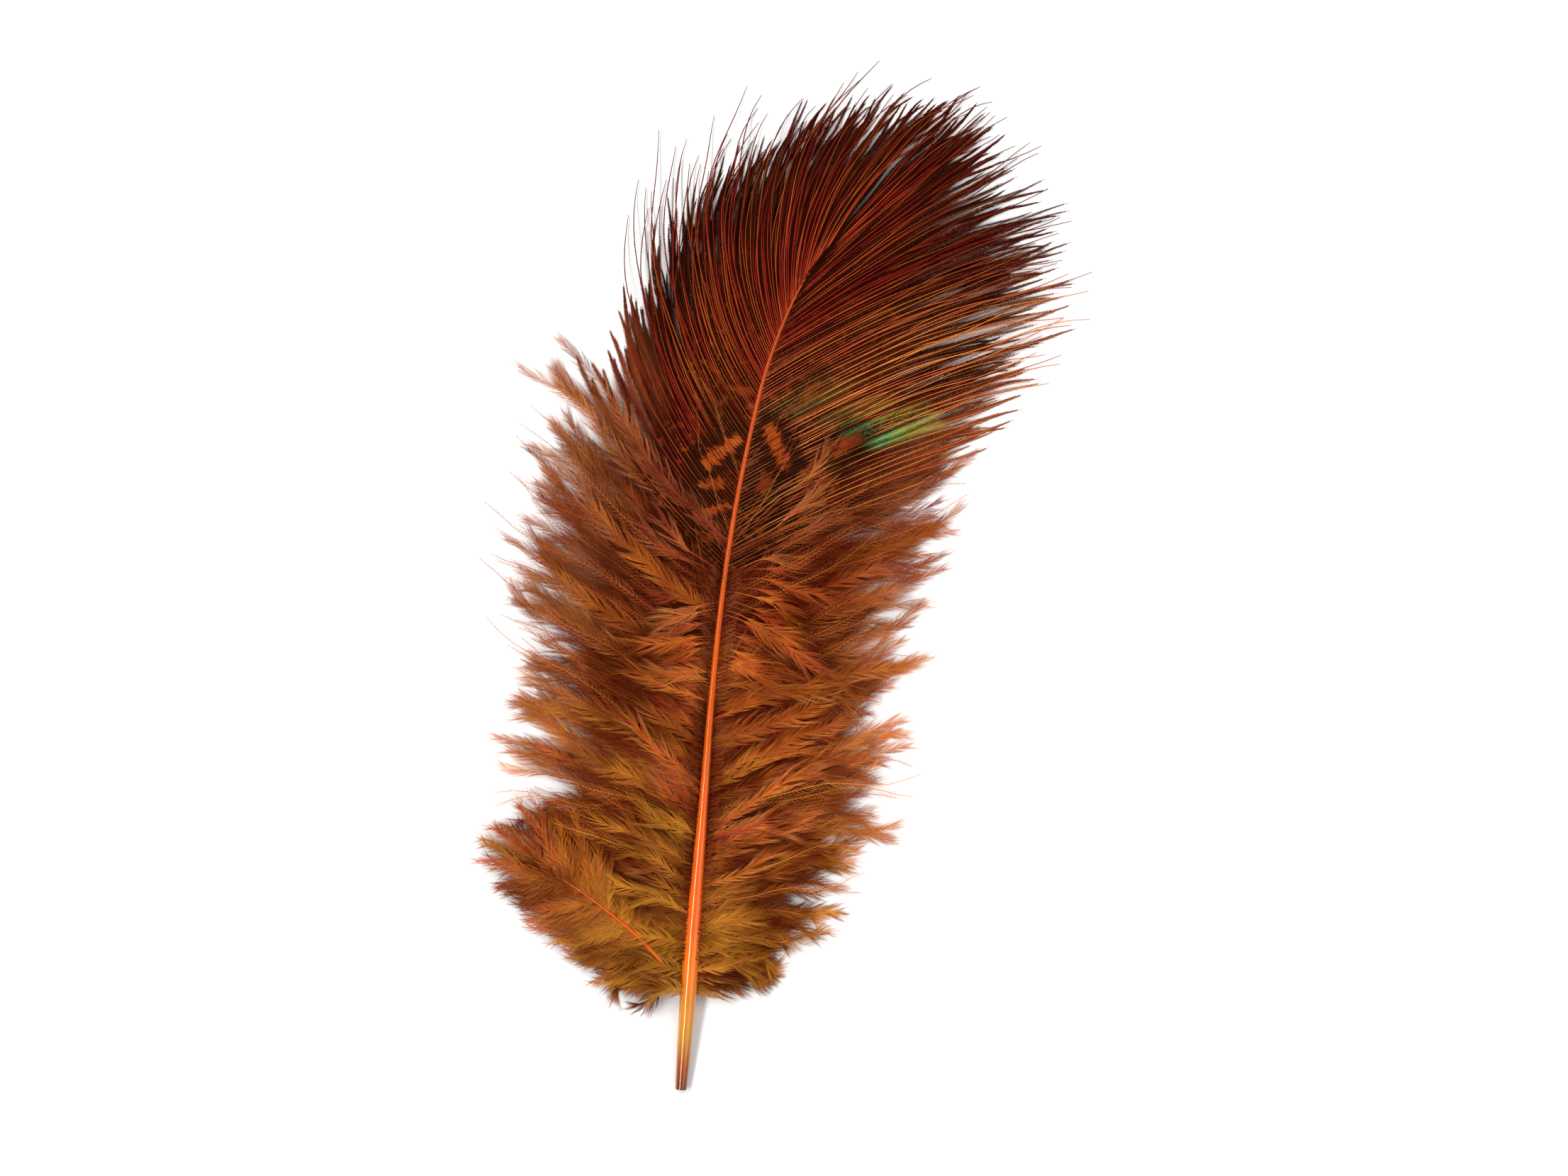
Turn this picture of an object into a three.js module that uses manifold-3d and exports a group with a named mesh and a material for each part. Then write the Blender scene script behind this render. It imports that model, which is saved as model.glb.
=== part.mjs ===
// A pheasant rump feather lying on its underside: bare quill, curved shaft, downy lower half, two vanes of
// firm barbs with a loose fringe, and a small afterfeather under the quill. It grew as one piece, so it is one
// closed solid. Millimetres, +Z up, tip towards +Y, resting on Z = 0.

import * as THREE from "three";
import { mergeVertices } from "three/addons/utils/BufferGeometryUtils.js";
import Module from "manifold-3d";

const wasm = await Module();
wasm.setup();

const LEFT = -1;
const RIGHT = 1;

// Driving dimensions of the shaft, from the cut end of the quill to where the shaft runs out in the tip barbs.
const SHAFT_POINTS = [
  [-12.6, -44.2, 0.66],
  [-12.0, -36.5, 1.5],
  [-11.5, -30.0, 2.3],
  [-10.6, -19.0, 3.1],
  [-9.8, -9.0, 3.5],
  [-8.6, 1.5, 3.6],
  [-6.9, 11.0, 3.4],
  [-4.9, 19.0, 3.0],
  [-2.1, 25.5, 2.4],
  [0.2, 28.6, 2.0],
];
const SHAFT_RADIUS = [[0, 0.68], [0.04, 0.76], [0.14, 0.82], [0.3, 0.66], [0.6, 0.42], [0.85, 0.26], [1, 0.14]];
const STEM_SIDES = 10;
const SHAFT_STEPS = 24;

// Barbs lie in a field that is given along the stem: 0 is its root and 1 its end. Angles are in degrees from
// the way to the tip, outwards, where a barb leaves the stem and where it ends. Lengths are in millimetres.
const LEFT_FIELD = {
  length: [[0.1, 7], [0.2, 16], [0.32, 20.5], [0.45, 22], [0.6, 23.5], [0.7, 23], [0.8, 22], [0.9, 20.5], [1, 18.5]],
  launch: [[0.1, 80], [0.3, 70], [0.5, 62], [0.65, 52], [0.85, 42], [1, 5]],
  finish: [[0.1, 110], [0.2, 88], [0.35, 70], [0.5, 52], [0.65, 24], [0.8, 6], [0.9, 0], [1, -10]],
};
const RIGHT_FIELD = {
  length: [[0.1, 6], [0.2, 14], [0.32, 19], [0.45, 21], [0.6, 24], [0.7, 30], [0.8, 32], [0.9, 26], [1, 19]],
  launch: [[0.1, 80], [0.3, 70], [0.5, 60], [0.65, 52], [0.85, 42], [1, 2]],
  finish: [[0.1, 105], [0.2, 88], [0.35, 72], [0.5, 62], [0.65, 64], [0.78, 66], [0.88, 52], [1, 14]],
};
const BEND_POWER = 1.15;
const DROOP_POWER = 1.2;
const BARB_SEGMENTS = 10;

// The two kinds of locks that the barbs gather in. notch is how far out the dip between two locks reaches,
// and lies where a lock comes down to its rest height, both as a share of its length. body is the thickness
// along a lock and girth the thickness along the row, both as a share of the greatest.
const DOWN = {
  from: 0.112, to: 0.655, locks: 12, halfThickness: 1.5, dip: 0.55, notch: 0.76, lift: 0.5, steps: 8,
  rest: 0.2, lies: 0.8,
  body: [[0, 0.5], [0.2, 0.85], [0.5, 1], [0.8, 0.7], [1, 0.18]],
  girth: [[0, 0.6], [0.25, 1], [0.8, 0.95], [1, 0.5]],
};
const VANE = {
  from: 0.64, to: 1, locks: 14, halfThickness: 0.55, dip: 0.5, notch: 0.7, lift: 0.5, steps: 9,
  rest: 0.06, lies: 0.86,
  body: [[0, 0.55], [0.2, 0.9], [0.5, 1], [0.8, 0.75], [1, 0.38]],
  girth: [[0, 1], [1, 0.85]],
};
const LOCK_REACH = [1, 0.92, 0.98, 0.87, 0.95];
const RIDGE_HEIGHTS = [1, 1.22, 0.9, 1.1];
const BELLY = 0.8;

// The afterfeather: a short soft plume on a thin stem of its own, under the quill and out to the left.
const AFTER_POINTS = [
  [-12.1, -36.4, 0.9],
  [-15.2, -32.0, 1.0],
  [-19.8, -28.0, 1.0],
  [-25.0, -24.6, 0.8],
];
const AFTER_RADIUS = [[0, 0.5], [0.3, 0.3], [1, 0.12]];
const AFTER_FIELD = {
  length: [[0, 4], [0.3, 8], [0.7, 8], [1, 6.5]],
  launch: [[0, 74], [0.8, 50], [1, 6]],
  finish: [[0, 70], [0.8, 24], [1, 2]],
};
const AFTER_DOWN = { ...DOWN, from: 0.16, to: 1, locks: 5, halfThickness: 0.9, lift: 0.1, steps: 5 };
const AFTER_STEPS = 10;

const FEATHER_COLOUR = 0x7a3212;
const WELD = 1e-4;
const UP = new THREE.Vector3(0, 0, 1);

// The value at a place along a list of [place, value] pairs.
function at(stops, place) {
  const next = stops.findIndex(([stop]) => stop >= place);
  if (next < 0) return stops[stops.length - 1][1];
  if (next === 0) return stops[0][1];
  const [fromPlace, fromValue] = stops[next - 1];
  const [toPlace, toValue] = stops[next];
  return THREE.MathUtils.lerp(fromValue, toValue, (place - fromPlace) / (toPlace - fromPlace));
}

function curveThrough(points) {
  return new THREE.CatmullRomCurve3(points.map(([x, y, z]) => new THREE.Vector3(x, y, z)), false, "centripetal");
}

// The closed mesh of a geometry, as a solid that can be joined and cut.
function solidOf(geometry) {
  geometry.deleteAttribute("normal");
  geometry.deleteAttribute("uv");
  const merged = mergeVertices(geometry, WELD);
  return new wasm.Manifold(
    new wasm.Mesh({
      numProp: 3,
      vertProperties: merged.getAttribute("position").array,
      triVerts: new Uint32Array(merged.index.array),
    }),
  );
}

// Moves each vertex of a block to the place that placeOf gives it.
function shapeInto(block, placeOf) {
  const position = block.getAttribute("position");
  for (let i = 0; i < position.count; i++) {
    const place = placeOf(position.getX(i), position.getY(i), position.getZ(i));
    position.setXYZ(i, place.x, place.y, place.z);
  }
  return solidOf(block);
}

// A round stem along a curve, tapering as the radius stops say.
function stem(curve, radiusStops, steps) {
  const corners = Array.from({ length: STEM_SIDES }, (_, i) => {
    const turn = (2 * Math.PI * i) / STEM_SIDES;
    return new THREE.Vector2(Math.cos(turn), Math.sin(turn));
  });
  const bar = new THREE.ExtrudeGeometry(new THREE.Shape(corners), { depth: 1, steps, bevelEnabled: false });
  return shapeInto(bar, (x, y, along) => {
    const radius = at(radiusStops, along);
    const ahead = curve.getTangentAt(along);
    const across = new THREE.Vector3().crossVectors(UP, ahead).normalize();
    const over = new THREE.Vector3().crossVectors(ahead, across);
    return curve.getPointAt(along).addScaledVector(across, x * radius).addScaledVector(over, y * radius);
  });
}

// The way a barb takes from its root: it leaves at one angle, turns steadily to another and sinks to the rest.
function barbCurve(curve, place, side, field, kind) {
  const length = at(field.length, place);
  const launch = at(field.launch, place);
  const finish = at(field.finish, place);
  const root = curve.getPointAt(place);
  const ahead = curve.getTangentAt(place).setZ(0).normalize();
  const outwards = new THREE.Vector3(ahead.y, -ahead.x, 0).multiplyScalar(side);
  const flat = root.clone();
  const points = [root.clone()];
  for (let i = 1; i <= BARB_SEGMENTS; i++) {
    const middle = (i - 0.5) / BARB_SEGMENTS;
    const turn = THREE.MathUtils.degToRad(THREE.MathUtils.lerp(launch, finish, middle ** BEND_POWER));
    flat.addScaledVector(ahead, (Math.cos(turn) * length) / BARB_SEGMENTS);
    flat.addScaledVector(outwards, (Math.sin(turn) * length) / BARB_SEGMENTS);
    const fall = Math.min(1, i / BARB_SEGMENTS / kind.lies);
    const sunk = THREE.MathUtils.lerp(root.z, kind.rest, fall ** DROOP_POWER);
    points.push(flat.clone().setZ(sunk + kind.lift * Math.sin(Math.PI * fall)));
  }
  return new THREE.CatmullRomCurve3(points, false, "centripetal");
}

// One side of a plume: a sheet that grows out of the stem and parts further out in pointed locks, with a ridge
// along each lock and a dip between two of them.
function lockRow(curve, side, field, kind) {
  const halves = 2 * kind.locks;
  const barbs = Array.from({ length: halves + 1 }, (_, i) =>
    barbCurve(curve, THREE.MathUtils.lerp(kind.from, kind.to, i / halves), side, field, kind),
  );
  const sheet = new THREE.BoxGeometry(1, 1, 1, kind.steps, 1, halves).translate(0.5, 0, 0.5);
  return shapeInto(sheet, (along, y, z) => {
    const share = side === LEFT ? z : 1 - z;
    const i = Math.round(share * halves);
    const lock = (i - 1) / 2;
    const reach = i % 2 ? LOCK_REACH[lock % LOCK_REACH.length] : kind.notch;
    const height = i % 2 ? RIDGE_HEIGHTS[lock % RIDGE_HEIGHTS.length] : kind.dip;
    const thickness = kind.halfThickness * at(kind.body, along) * at(kind.girth, share);
    const place = barbs[i].getPoint(along * reach);
    place.z += thickness * (y > 0 ? height : -BELLY * Math.min(height, 1));
    return place;
  });
}

function afterfeather() {
  const curve = curveThrough(AFTER_POINTS);
  return [
    stem(curve, AFTER_RADIUS, AFTER_STEPS),
    lockRow(curve, LEFT, AFTER_FIELD, AFTER_DOWN),
    lockRow(curve, RIGHT, AFTER_FIELD, AFTER_DOWN),
  ];
}

// What lies below the surface that the feather rests on is cut away, which leaves flat soles to rest on.
function cutFlat(solid) {
  const reach = 400;
  const room = new THREE.BoxGeometry(reach, reach, reach).translate(0, 0, reach / 2);
  return solid.intersect(solidOf(room));
}

// Small gaps that the pieces shut in between them are filled, so only the outer skin is kept.
function outerSkin(solid) {
  const skins = solid.decompose();
  return skins.reduce((largest, skin) => (skin.volume() > largest.volume() ? skin : largest));
}

function buildFeather() {
  const shaft = curveThrough(SHAFT_POINTS);
  const rows = [
    [LEFT, LEFT_FIELD],
    [RIGHT, RIGHT_FIELD],
  ].flatMap(([side, field]) => [lockRow(shaft, side, field, DOWN), lockRow(shaft, side, field, VANE)]);
  const pieces = [...rows, ...afterfeather()];
  const grown = pieces.reduce((whole, piece) => whole.add(piece), stem(shaft, SHAFT_RADIUS, SHAFT_STEPS));
  return outerSkin(cutFlat(grown));
}

// The finished solid as a geometry, with the middle of its box over the origin.
function centredGeometry(solid) {
  const mesh = solid.getMesh();
  const geometry = new THREE.BufferGeometry();
  geometry.setAttribute("position", new THREE.BufferAttribute(mesh.vertProperties, mesh.numProp));
  geometry.setIndex(new THREE.BufferAttribute(mesh.triVerts, 1));
  geometry.computeBoundingBox();
  const middle = geometry.boundingBox.getCenter(new THREE.Vector3());
  geometry.translate(-middle.x, -middle.y, -geometry.boundingBox.min.z);
  geometry.computeVertexNormals();
  return geometry;
}

const featherMaterial = new THREE.MeshStandardMaterial({ color: FEATHER_COLOUR, roughness: 0.6, metalness: 0 });
const rumpFeather = new THREE.Mesh(centredGeometry(buildFeather()), featherMaterial);
rumpFeather.name = "rump_feather";

const feather = new THREE.Group();
feather.add(rumpFeather);

export default feather;
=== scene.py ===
"""A dyed pheasant rump feather that lies on its underside: quill, vanes, fringe, down and afterfeather."""

from __future__ import annotations

import logging
import math
from collections.abc import Sequence
from dataclasses import dataclass, field, replace
from enum import Enum

import bpy
import numpy as np
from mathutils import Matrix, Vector


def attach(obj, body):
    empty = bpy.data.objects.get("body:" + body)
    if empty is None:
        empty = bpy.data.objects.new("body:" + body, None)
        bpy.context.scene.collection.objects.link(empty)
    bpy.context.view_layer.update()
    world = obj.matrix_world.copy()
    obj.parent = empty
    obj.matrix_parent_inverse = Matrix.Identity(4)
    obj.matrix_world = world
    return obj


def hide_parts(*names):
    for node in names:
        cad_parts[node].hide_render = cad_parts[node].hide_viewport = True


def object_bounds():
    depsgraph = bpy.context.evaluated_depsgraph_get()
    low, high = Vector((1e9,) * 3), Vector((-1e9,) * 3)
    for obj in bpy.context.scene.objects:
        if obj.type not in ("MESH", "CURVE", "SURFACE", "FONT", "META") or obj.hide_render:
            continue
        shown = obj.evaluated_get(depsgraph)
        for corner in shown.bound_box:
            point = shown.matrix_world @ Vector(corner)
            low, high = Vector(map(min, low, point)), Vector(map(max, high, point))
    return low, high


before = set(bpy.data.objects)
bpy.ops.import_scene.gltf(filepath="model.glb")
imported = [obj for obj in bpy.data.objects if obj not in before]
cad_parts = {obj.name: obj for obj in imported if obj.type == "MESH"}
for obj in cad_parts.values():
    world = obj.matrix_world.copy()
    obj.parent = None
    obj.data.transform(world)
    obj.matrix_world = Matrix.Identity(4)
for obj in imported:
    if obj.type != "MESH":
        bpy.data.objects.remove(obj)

LOG = logging.getLogger("rump_feather")
CAD_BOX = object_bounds()
NODE = "rump_feather"
BODY = "root"
BAKE_MAP = "OFBake"
MM = 0.001
UP = np.array([0.0, 0.0, 1.0])

# In millimetres: the middle of the feather's box in the frame that the shaft's points are given in, the
# height that no strand reaches, and the least height of a strand over the floor.
FEATHER_MIDDLE = np.array([-3.678, -0.767, 0.0])
CEILING = CAD_BOX[1][2] / MM
CLEARANCE = 0.03

# A span is where a soft step starts and where it ends, and a scaling is a factor and an offset.
Pair = Span = Scaling = tuple[float, float]
Triple = Colour = tuple[float, float, float]
Stops = Sequence[tuple[float, Colour]]
Array = np.ndarray
Socket = bpy.types.NodeSocket

# What is known of each vertex of a strand: the place of its barb's root on the stem, how far out it is in
# millimetres and as a share of the barb, a tone of its own and one of its lock, how far out on a barbule
# it is, the side of the stem, and how deep it lies under the others.
TRAITS = ("place", "reach", "share", "tone", "clump", "limb", "across")
# How deep a strand lies, by which the finishes paint shade in the gaps and highlights on the crowns.
DEPTH = "depth"

# The steps from a barb to its barbules, by their limb, and from the left side to the right.
OFF_THE_BARB: Span = (0.2, 0.45)
TO_THE_RIGHT: Span = (-0.5, 0.5)


class Side(Enum):
    """The side of a stem that a row of barbs grows on, seen from above with the tip away."""

    LEFT = -1
    RIGHT = 1


class Coat(Enum):
    """The finish that a row of barbs wears."""

    VANE = "vane"
    DOWN = "down"
    BASES = "barb_bases"


class Slot(Enum):
    """The record's material slots."""

    FEATHER = "feather"
    QUILL = "quill"


@dataclass(frozen=True)
class Profile:
    """A number that changes along something, given as (place, value) pairs."""

    stops: tuple[Pair, ...]

    def at(self, place: Array | float) -> Array:
        """Gives the value at one place or at each of an array of places."""
        places, values = zip(*self.stops)
        return np.interp(place, places, values)


def line(*stops: Pair) -> Profile:
    """Makes a profile of its (place, value) pairs."""
    return Profile(stops)


FULL, NONE, EVEN = line((0, 1), (1, 1)), line((0, 0), (1, 0)), line((0, 0), (1, 1))


class Stem:
    """A curve through a few points, read by the share of its length from its root."""

    SAMPLES_A_SPAN = 40
    NEAR = 0.004

    def __init__(self, points: Sequence[Triple]) -> None:
        """Samples the curve.

        Args:
            points: the points that it passes, in millimetres.
        """
        self.line = self.through(np.array(points))
        steps = np.linalg.norm(np.diff(self.line, axis=0), axis=1)
        walked = np.concatenate([[0.0], np.cumsum(steps)])
        self.length = float(walked[-1])
        self.places = walked / self.length

    def through(self, points: Array) -> Array:
        """Runs a smooth curve through the points, with knots spaced by the root of their distance.

        Args:
            points: the points, one a row.

        Returns:
            Close samples of the curve, one a row.
        """
        ends = np.vstack([2 * points[0] - points[1], points, 2 * points[-1] - points[-2]])
        t = np.linspace(0, 1, self.SAMPLES_A_SPAN, endpoint=False)[:, None]
        spans = []
        for p0, p1, p2, p3 in zip(ends, ends[1:], ends[2:], ends[3:]):
            d0, d1, d2 = (math.sqrt(np.linalg.norm(b - a)) for a, b in ((p0, p1), (p1, p2), (p2, p3)))
            leave = ((p1 - p0) / d0 - (p2 - p0) / (d0 + d1) + (p2 - p1) / d1) * d1
            arrive = ((p2 - p1) / d1 - (p3 - p1) / (d1 + d2) + (p3 - p2) / d2) * d1
            cubic = 2 * p1 - 2 * p2 + leave + arrive
            square = -3 * p1 + 3 * p2 - 2 * leave - arrive
            spans.append(((cubic * t + square) * t + leave) * t + p1)
        return np.vstack([*spans, points[-1:]])

    def at(self, place: Array | float) -> Array:
        """Gives the points at the shares of the length, one a row."""
        return np.stack([np.interp(place, self.places, self.line[:, i]) for i in range(3)], axis=-1)

    def ahead(self, place: Array) -> Array:
        """Gives the unit vectors along the curve at the shares of the length, one a row."""
        way = self.at(np.minimum(place + self.NEAR, 1)) - self.at(np.maximum(place - self.NEAR, 0))
        return way / np.linalg.norm(way, axis=-1, keepdims=True)


@dataclass(frozen=True)
class BarbField:
    """Where the barbs of one side go, by place along the stem: millimetres, and degrees off its way."""

    side: Side
    length: Profile
    launch: Profile
    finish: Profile


@dataclass(frozen=True)
class BarbHabit:
    """How the barbs of a row grow and lie. Shares run from 0 at a barb's root to 1 at its tip."""

    count: int
    clumps: int
    segments: int
    lift: Profile
    rest: float
    lies: float
    thickness: Profile
    clump_angle_spread: float
    wave: float
    gather: float = 0.0
    gather_from: float = 0.35
    root_spread: float = 0.3
    length_spread: float = 0.05
    clump_length_spread: float = 0.13
    stray: float = 0.0
    angle_spread: float = 1.0
    lift_spread: float = 0.1
    clump_lift_spread: float = 0.1
    scale: float = 1.0
    loosen: Profile = FULL
    crowd: Profile = EVEN


@dataclass(frozen=True)
class BarbuleHabit:
    """How the barbules stand along a barb. Shares run from 0 at the barb's root to 1 at its tip."""

    count: int
    places: Profile
    length: Profile
    angle: Profile
    width: float
    curl: float
    twist_spread: float
    angle_spread: float
    lie: float = 0.0
    thinning: float = 0.0
    length_spread: float = 0.22
    wisp: int = 1
    wisp_angle: float = 0.0
    outer: Profile = FULL
    bare: Profile = NONE


class Cover:
    """The feather's upper side as heights on a grid, to tell how deep each strand lies among the others, by
    which the finishes paint shade in the gaps and highlights on the crowns.
    """

    CELL = 0.4
    REACH = 3

    def __init__(self, points: Array) -> None:
        """Lays the grid over the strands and evens it out.

        Args:
            points: the vertices of all the strands, in millimetres.
        """
        self.corner = points[:, :2].min(axis=0)
        cells = self.cells(points)
        heights = np.zeros(cells.max(axis=0) + 1)
        np.maximum.at(heights, tuple(cells.T), points[:, 2])
        for _ in heights.shape:
            padded = np.pad(heights, ((self.REACH, self.REACH), (0, 0)), mode="edge")
            steps = range(2 * self.REACH + 1)
            heights = np.mean([padded[step:step + len(heights)] for step in steps], axis=0).T
        self.heights = heights

    def cells(self, points: Array) -> Array:
        """Gives the cell that each point is over, one a row."""
        return ((points[:, :2] - self.corner) / self.CELL).astype(int)

    def depth(self, points: Array) -> Array:
        """Gives how far each point is under the evened surface, less than 0 on the crowns."""
        return self.heights[tuple(self.cells(points).T)] - points[:, 2]


@dataclass
class Strands:
    """A batch of curves with what is known at each station: strands run down the rows, stations across."""

    path: Array
    ahead: Array
    across: Array
    over: Array
    place: Array
    share: Array
    length: Array
    tone: Array
    clump: Array
    side: Side

    @classmethod
    def along(cls, path: Array, place: Array, tone: Array, clump: Array,
              side: Side) -> Strands:
        """Works out the directions along the paths.

        Args:
            path: the stations' points, as strand, station and axis.
            place: where on the stem each strand is rooted.
            tone: a number from 0 to 1 for each strand, for its colour.
            clump: a number from 0 to 1 that the strands of a lock share, for its colour.
            side: the side of the stem.

        Returns:
            The batch.
        """
        ahead = np.gradient(path, axis=1)
        ahead /= np.linalg.norm(ahead, axis=-1, keepdims=True)
        across = np.cross(UP, ahead)
        across /= np.linalg.norm(across, axis=-1, keepdims=True)
        walked = np.cumsum(np.linalg.norm(np.diff(path, axis=1), axis=-1), axis=1)
        share = np.concatenate([np.zeros((len(path), 1)), walked / walked[:, -1:]], axis=1)
        return cls(path, ahead, across, np.cross(ahead, across), place, share, walked[:, -1], tone, clump,
                   side)

    def between(self, shares: Array) -> Strands:
        """Reads the same stations on every strand.

        Args:
            shares: how far along each station is, 0 to 1.

        Returns:
            A batch with one station for each share.
        """
        steps = self.path.shape[1] - 1
        before = np.clip((shares * steps).astype(int), 0, steps - 1)
        part = (shares * steps - before)[None, :, None]
        vectors = {name: getattr(self, name) for name in ("path", "ahead", "across", "over")}
        read = {name: values[:, before] * (1 - part) + values[:, before + 1] * part
                for name, values in vectors.items()}
        return replace(self, share=np.broadcast_to(shares, (len(self.path), len(shares))), **read)

    def traits(self) -> dict[str, Array]:
        """Gives an array of strands by stations for each of TRAITS."""
        values = (self.place[:, None], self.share * self.length[:, None], self.share, self.tone[:, None],
                  self.clump[:, None], 0.0, float(self.side.value))
        return {name: np.broadcast_to(value, self.share.shape) for name, value in zip(TRAITS, values)}


class StrandMesh:
    """Joins thin tubes and ribbons, given as arrays in millimetres, in one mesh with a bake map of rows."""

    SOFT_TOP = 0.5
    RING = 3
    TUBE_BAND = 0.14
    CAP_STEP = 0.004
    RIBBON = 5
    RIBBON_QUAD = np.array([0, 2, 3, 1])
    RIBBON_TIP = np.array([2, 4, 3])
    RIBBON_LIMBS = (0.5, 0.5, 0.75, 0.75, 1.0)
    RIBBON_BAND = (0.2, 0.94)
    RIBBON_SLOT = (0.08, 0.92)
    WISP_SHARE = 0.65
    OWN_SHARE = 0.35
    OUTER_PART = (0.4, 0.3)
    BARE_EDGE = 0.08
    NARROWING = 0.75
    TWIST = 0.7
    CURL_SPREAD = 0.12
    TONES = (0.6, 0.2, 0.2)

    def __init__(self, rows: int) -> None:
        """Starts an empty mesh.

        Args:
            rows: how many barbs share the bake map.
        """
        self.rows = rows
        self.total = 0
        self.points: list[Array] = []
        self.loops: list[Array] = []
        self.sizes: list[Array] = []
        self.maps: list[Array] = []
        self.traits: dict[str, list[Array]] = {name: [] for name in TRAITS}

    def add(self, points: Array, faces: Sequence[tuple[Array, Array]],
            traits: dict[str, Array]) -> None:
        """Adds a batch of vertices and the faces between them.

        Args:
            points: the vertices, one a row.
            faces: pairs of vertex numbers, one face a row, and their places on the bake map.
            traits: one value a vertex for each of TRAITS.
        """
        for corners, places in faces:
            self.loops.append((corners + self.total).reshape(-1))
            self.sizes.append(np.full(len(corners), corners.shape[1]))
            self.maps.append(places.reshape(-1, 2))
        self.points.append(points)
        for name in TRAITS:
            self.traits[name].append(traits[name])
        self.total += len(points)

    def on_map(self, row: Array, along: Array, rise: Array) -> Array:
        """Gives places on the bake map.

        Args:
            row: the barb's number.
            along: how far along the barb, 0 to 1.
            rise: from -1 at the lower edge of the barb's row to 1 at its upper edge.

        Returns:
            The places, with a last axis of two.
        """
        across = (row + 0.5 + 0.5 * rise) / self.rows
        return np.stack(np.broadcast_arrays(along, across), axis=-1)

    def add_tubes(self, strands: Strands, radius: Array) -> None:
        """Adds a three-sided tube along each strand.

        Args:
            strands: the curves and what is known of them.
            radius: the radius at each station, one strand a row.
        """
        count, stations = strands.share.shape
        steps = stations - 1
        turn = np.radians(90 + 360 / self.RING * np.arange(self.RING))
        ring = (np.cos(turn)[:, None] * strands.across[:, :, None, :]
                + np.sin(turn)[:, None] * strands.over[:, :, None, :])
        points = strands.path[:, :, None, :] + ring * radius[:, :, None, None]
        number = np.arange(count * stations * self.RING).reshape(count, stations, self.RING)
        following = np.roll(number, -1, axis=2)
        quads = np.stack([number[:, :-1], following[:, :-1], following[:, 1:], number[:, 1:]], axis=-1)
        row, j, k = (np.arange(size) for size in (count, steps, self.RING))
        along = (j[None, :, None, None] + np.array([0, 0, 1, 1])) / steps
        rise = self.TUBE_BAND * (2 * (k[None, None, :, None] + np.array([0, 1, 1, 0])) / self.RING - 1)
        quad_map = self.on_map(row[:, None, None, None], along, rise)
        caps = np.concatenate([number[:, 0, ::-1], number[:, -1, :]])
        ends = np.repeat([[0.0, self.CAP_STEP, 0.0], [1.0, 1 - self.CAP_STEP, 1.0]], count, axis=0)
        cap_map = self.on_map(np.tile(row, 2)[:, None], ends, np.array([-1, 0, 1]) * self.TUBE_BAND)
        traits = {name: np.repeat(value.reshape(-1), self.RING) for name, value in strands.traits().items()}
        self.add(points.reshape(-1, 3), [(quads.reshape(-1, 4), quad_map), (caps, cap_map)], traits)

    def ribbons(self, root: Strands, habit: BarbuleHabit, hand: int,
                rng: np.random.Generator) -> tuple[Array, Array]:
        """Shapes the barbules on one side of every strand.

        Args:
            root: the strands, with a station at the root of each barbule.
            habit: how the barbules stand.
            hand: -1 for the right side of a strand and 1 for its left side.
            rng: the source of the small differences between them.

        Returns:
            The five points of each barbule, and its tone.
        """
        shape, number = root.share.shape, np.arange(habit.count)
        wisps = number[-1] // habit.wisp + 1
        shared = rng.uniform(-1, 1, (4, shape[0], wisps))[:, :, number // habit.wisp]
        spread = self.WISP_SHARE * shared + self.OWN_SHARE * rng.uniform(-1, 1, (4, *shape))
        lean = (number % habit.wisp + 0.5) / habit.wisp - 0.5
        angle = np.radians(habit.angle.at(root.share) + habit.angle_spread * spread[0]
                           + habit.wisp_angle * lean)
        tilt = np.radians(habit.twist_spread) * (root.tone[:, None] * 2 - 1 + self.TWIST * spread[1])
        tilt = (tilt + habit.lie * hand)[..., None]
        outer_from, outer_over = self.OUTER_PART
        beyond = np.clip((root.share - outer_from) / outer_over, 0, 1)
        covered = (root.share - habit.bare.at(root.place)[:, None]) / self.BARE_EDGE + 1
        length = habit.length.at(root.share) * (1 + habit.length_spread * spread[2])
        length = length * np.clip(covered, self.BARE_EDGE, 1)
        length = length * (1 + (habit.outer.at(root.place)[:, None] - 1) * beyond)
        normal = np.cos(tilt) * root.over - hand * np.sin(tilt) * root.across
        outwards = hand * np.cos(tilt) * root.across + np.sin(tilt) * root.over
        bent = angle * (1 - habit.curl) + self.CURL_SPREAD * spread[3]
        first, second = (np.cos(way)[..., None] * root.ahead + np.sin(way)[..., None] * outwards
                         for way in (angle, bent))
        middle = root.path + first * (0.5 * length)[..., None]
        tip = middle + second * (0.5 * length)[..., None]
        width = habit.width * (1 - habit.thinning * root.share)
        sideways = np.cross(normal, first) * (0.5 * width)[..., None]
        narrower = self.NARROWING * sideways
        points = np.stack([root.path - sideways, root.path + sideways, middle - narrower, middle + narrower,
                           tip], axis=2)
        own, base, wisp_tone = self.TONES
        return points, np.clip(root.tone[:, None] * own + base + wisp_tone * shared[3], 0, 1)

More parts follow.
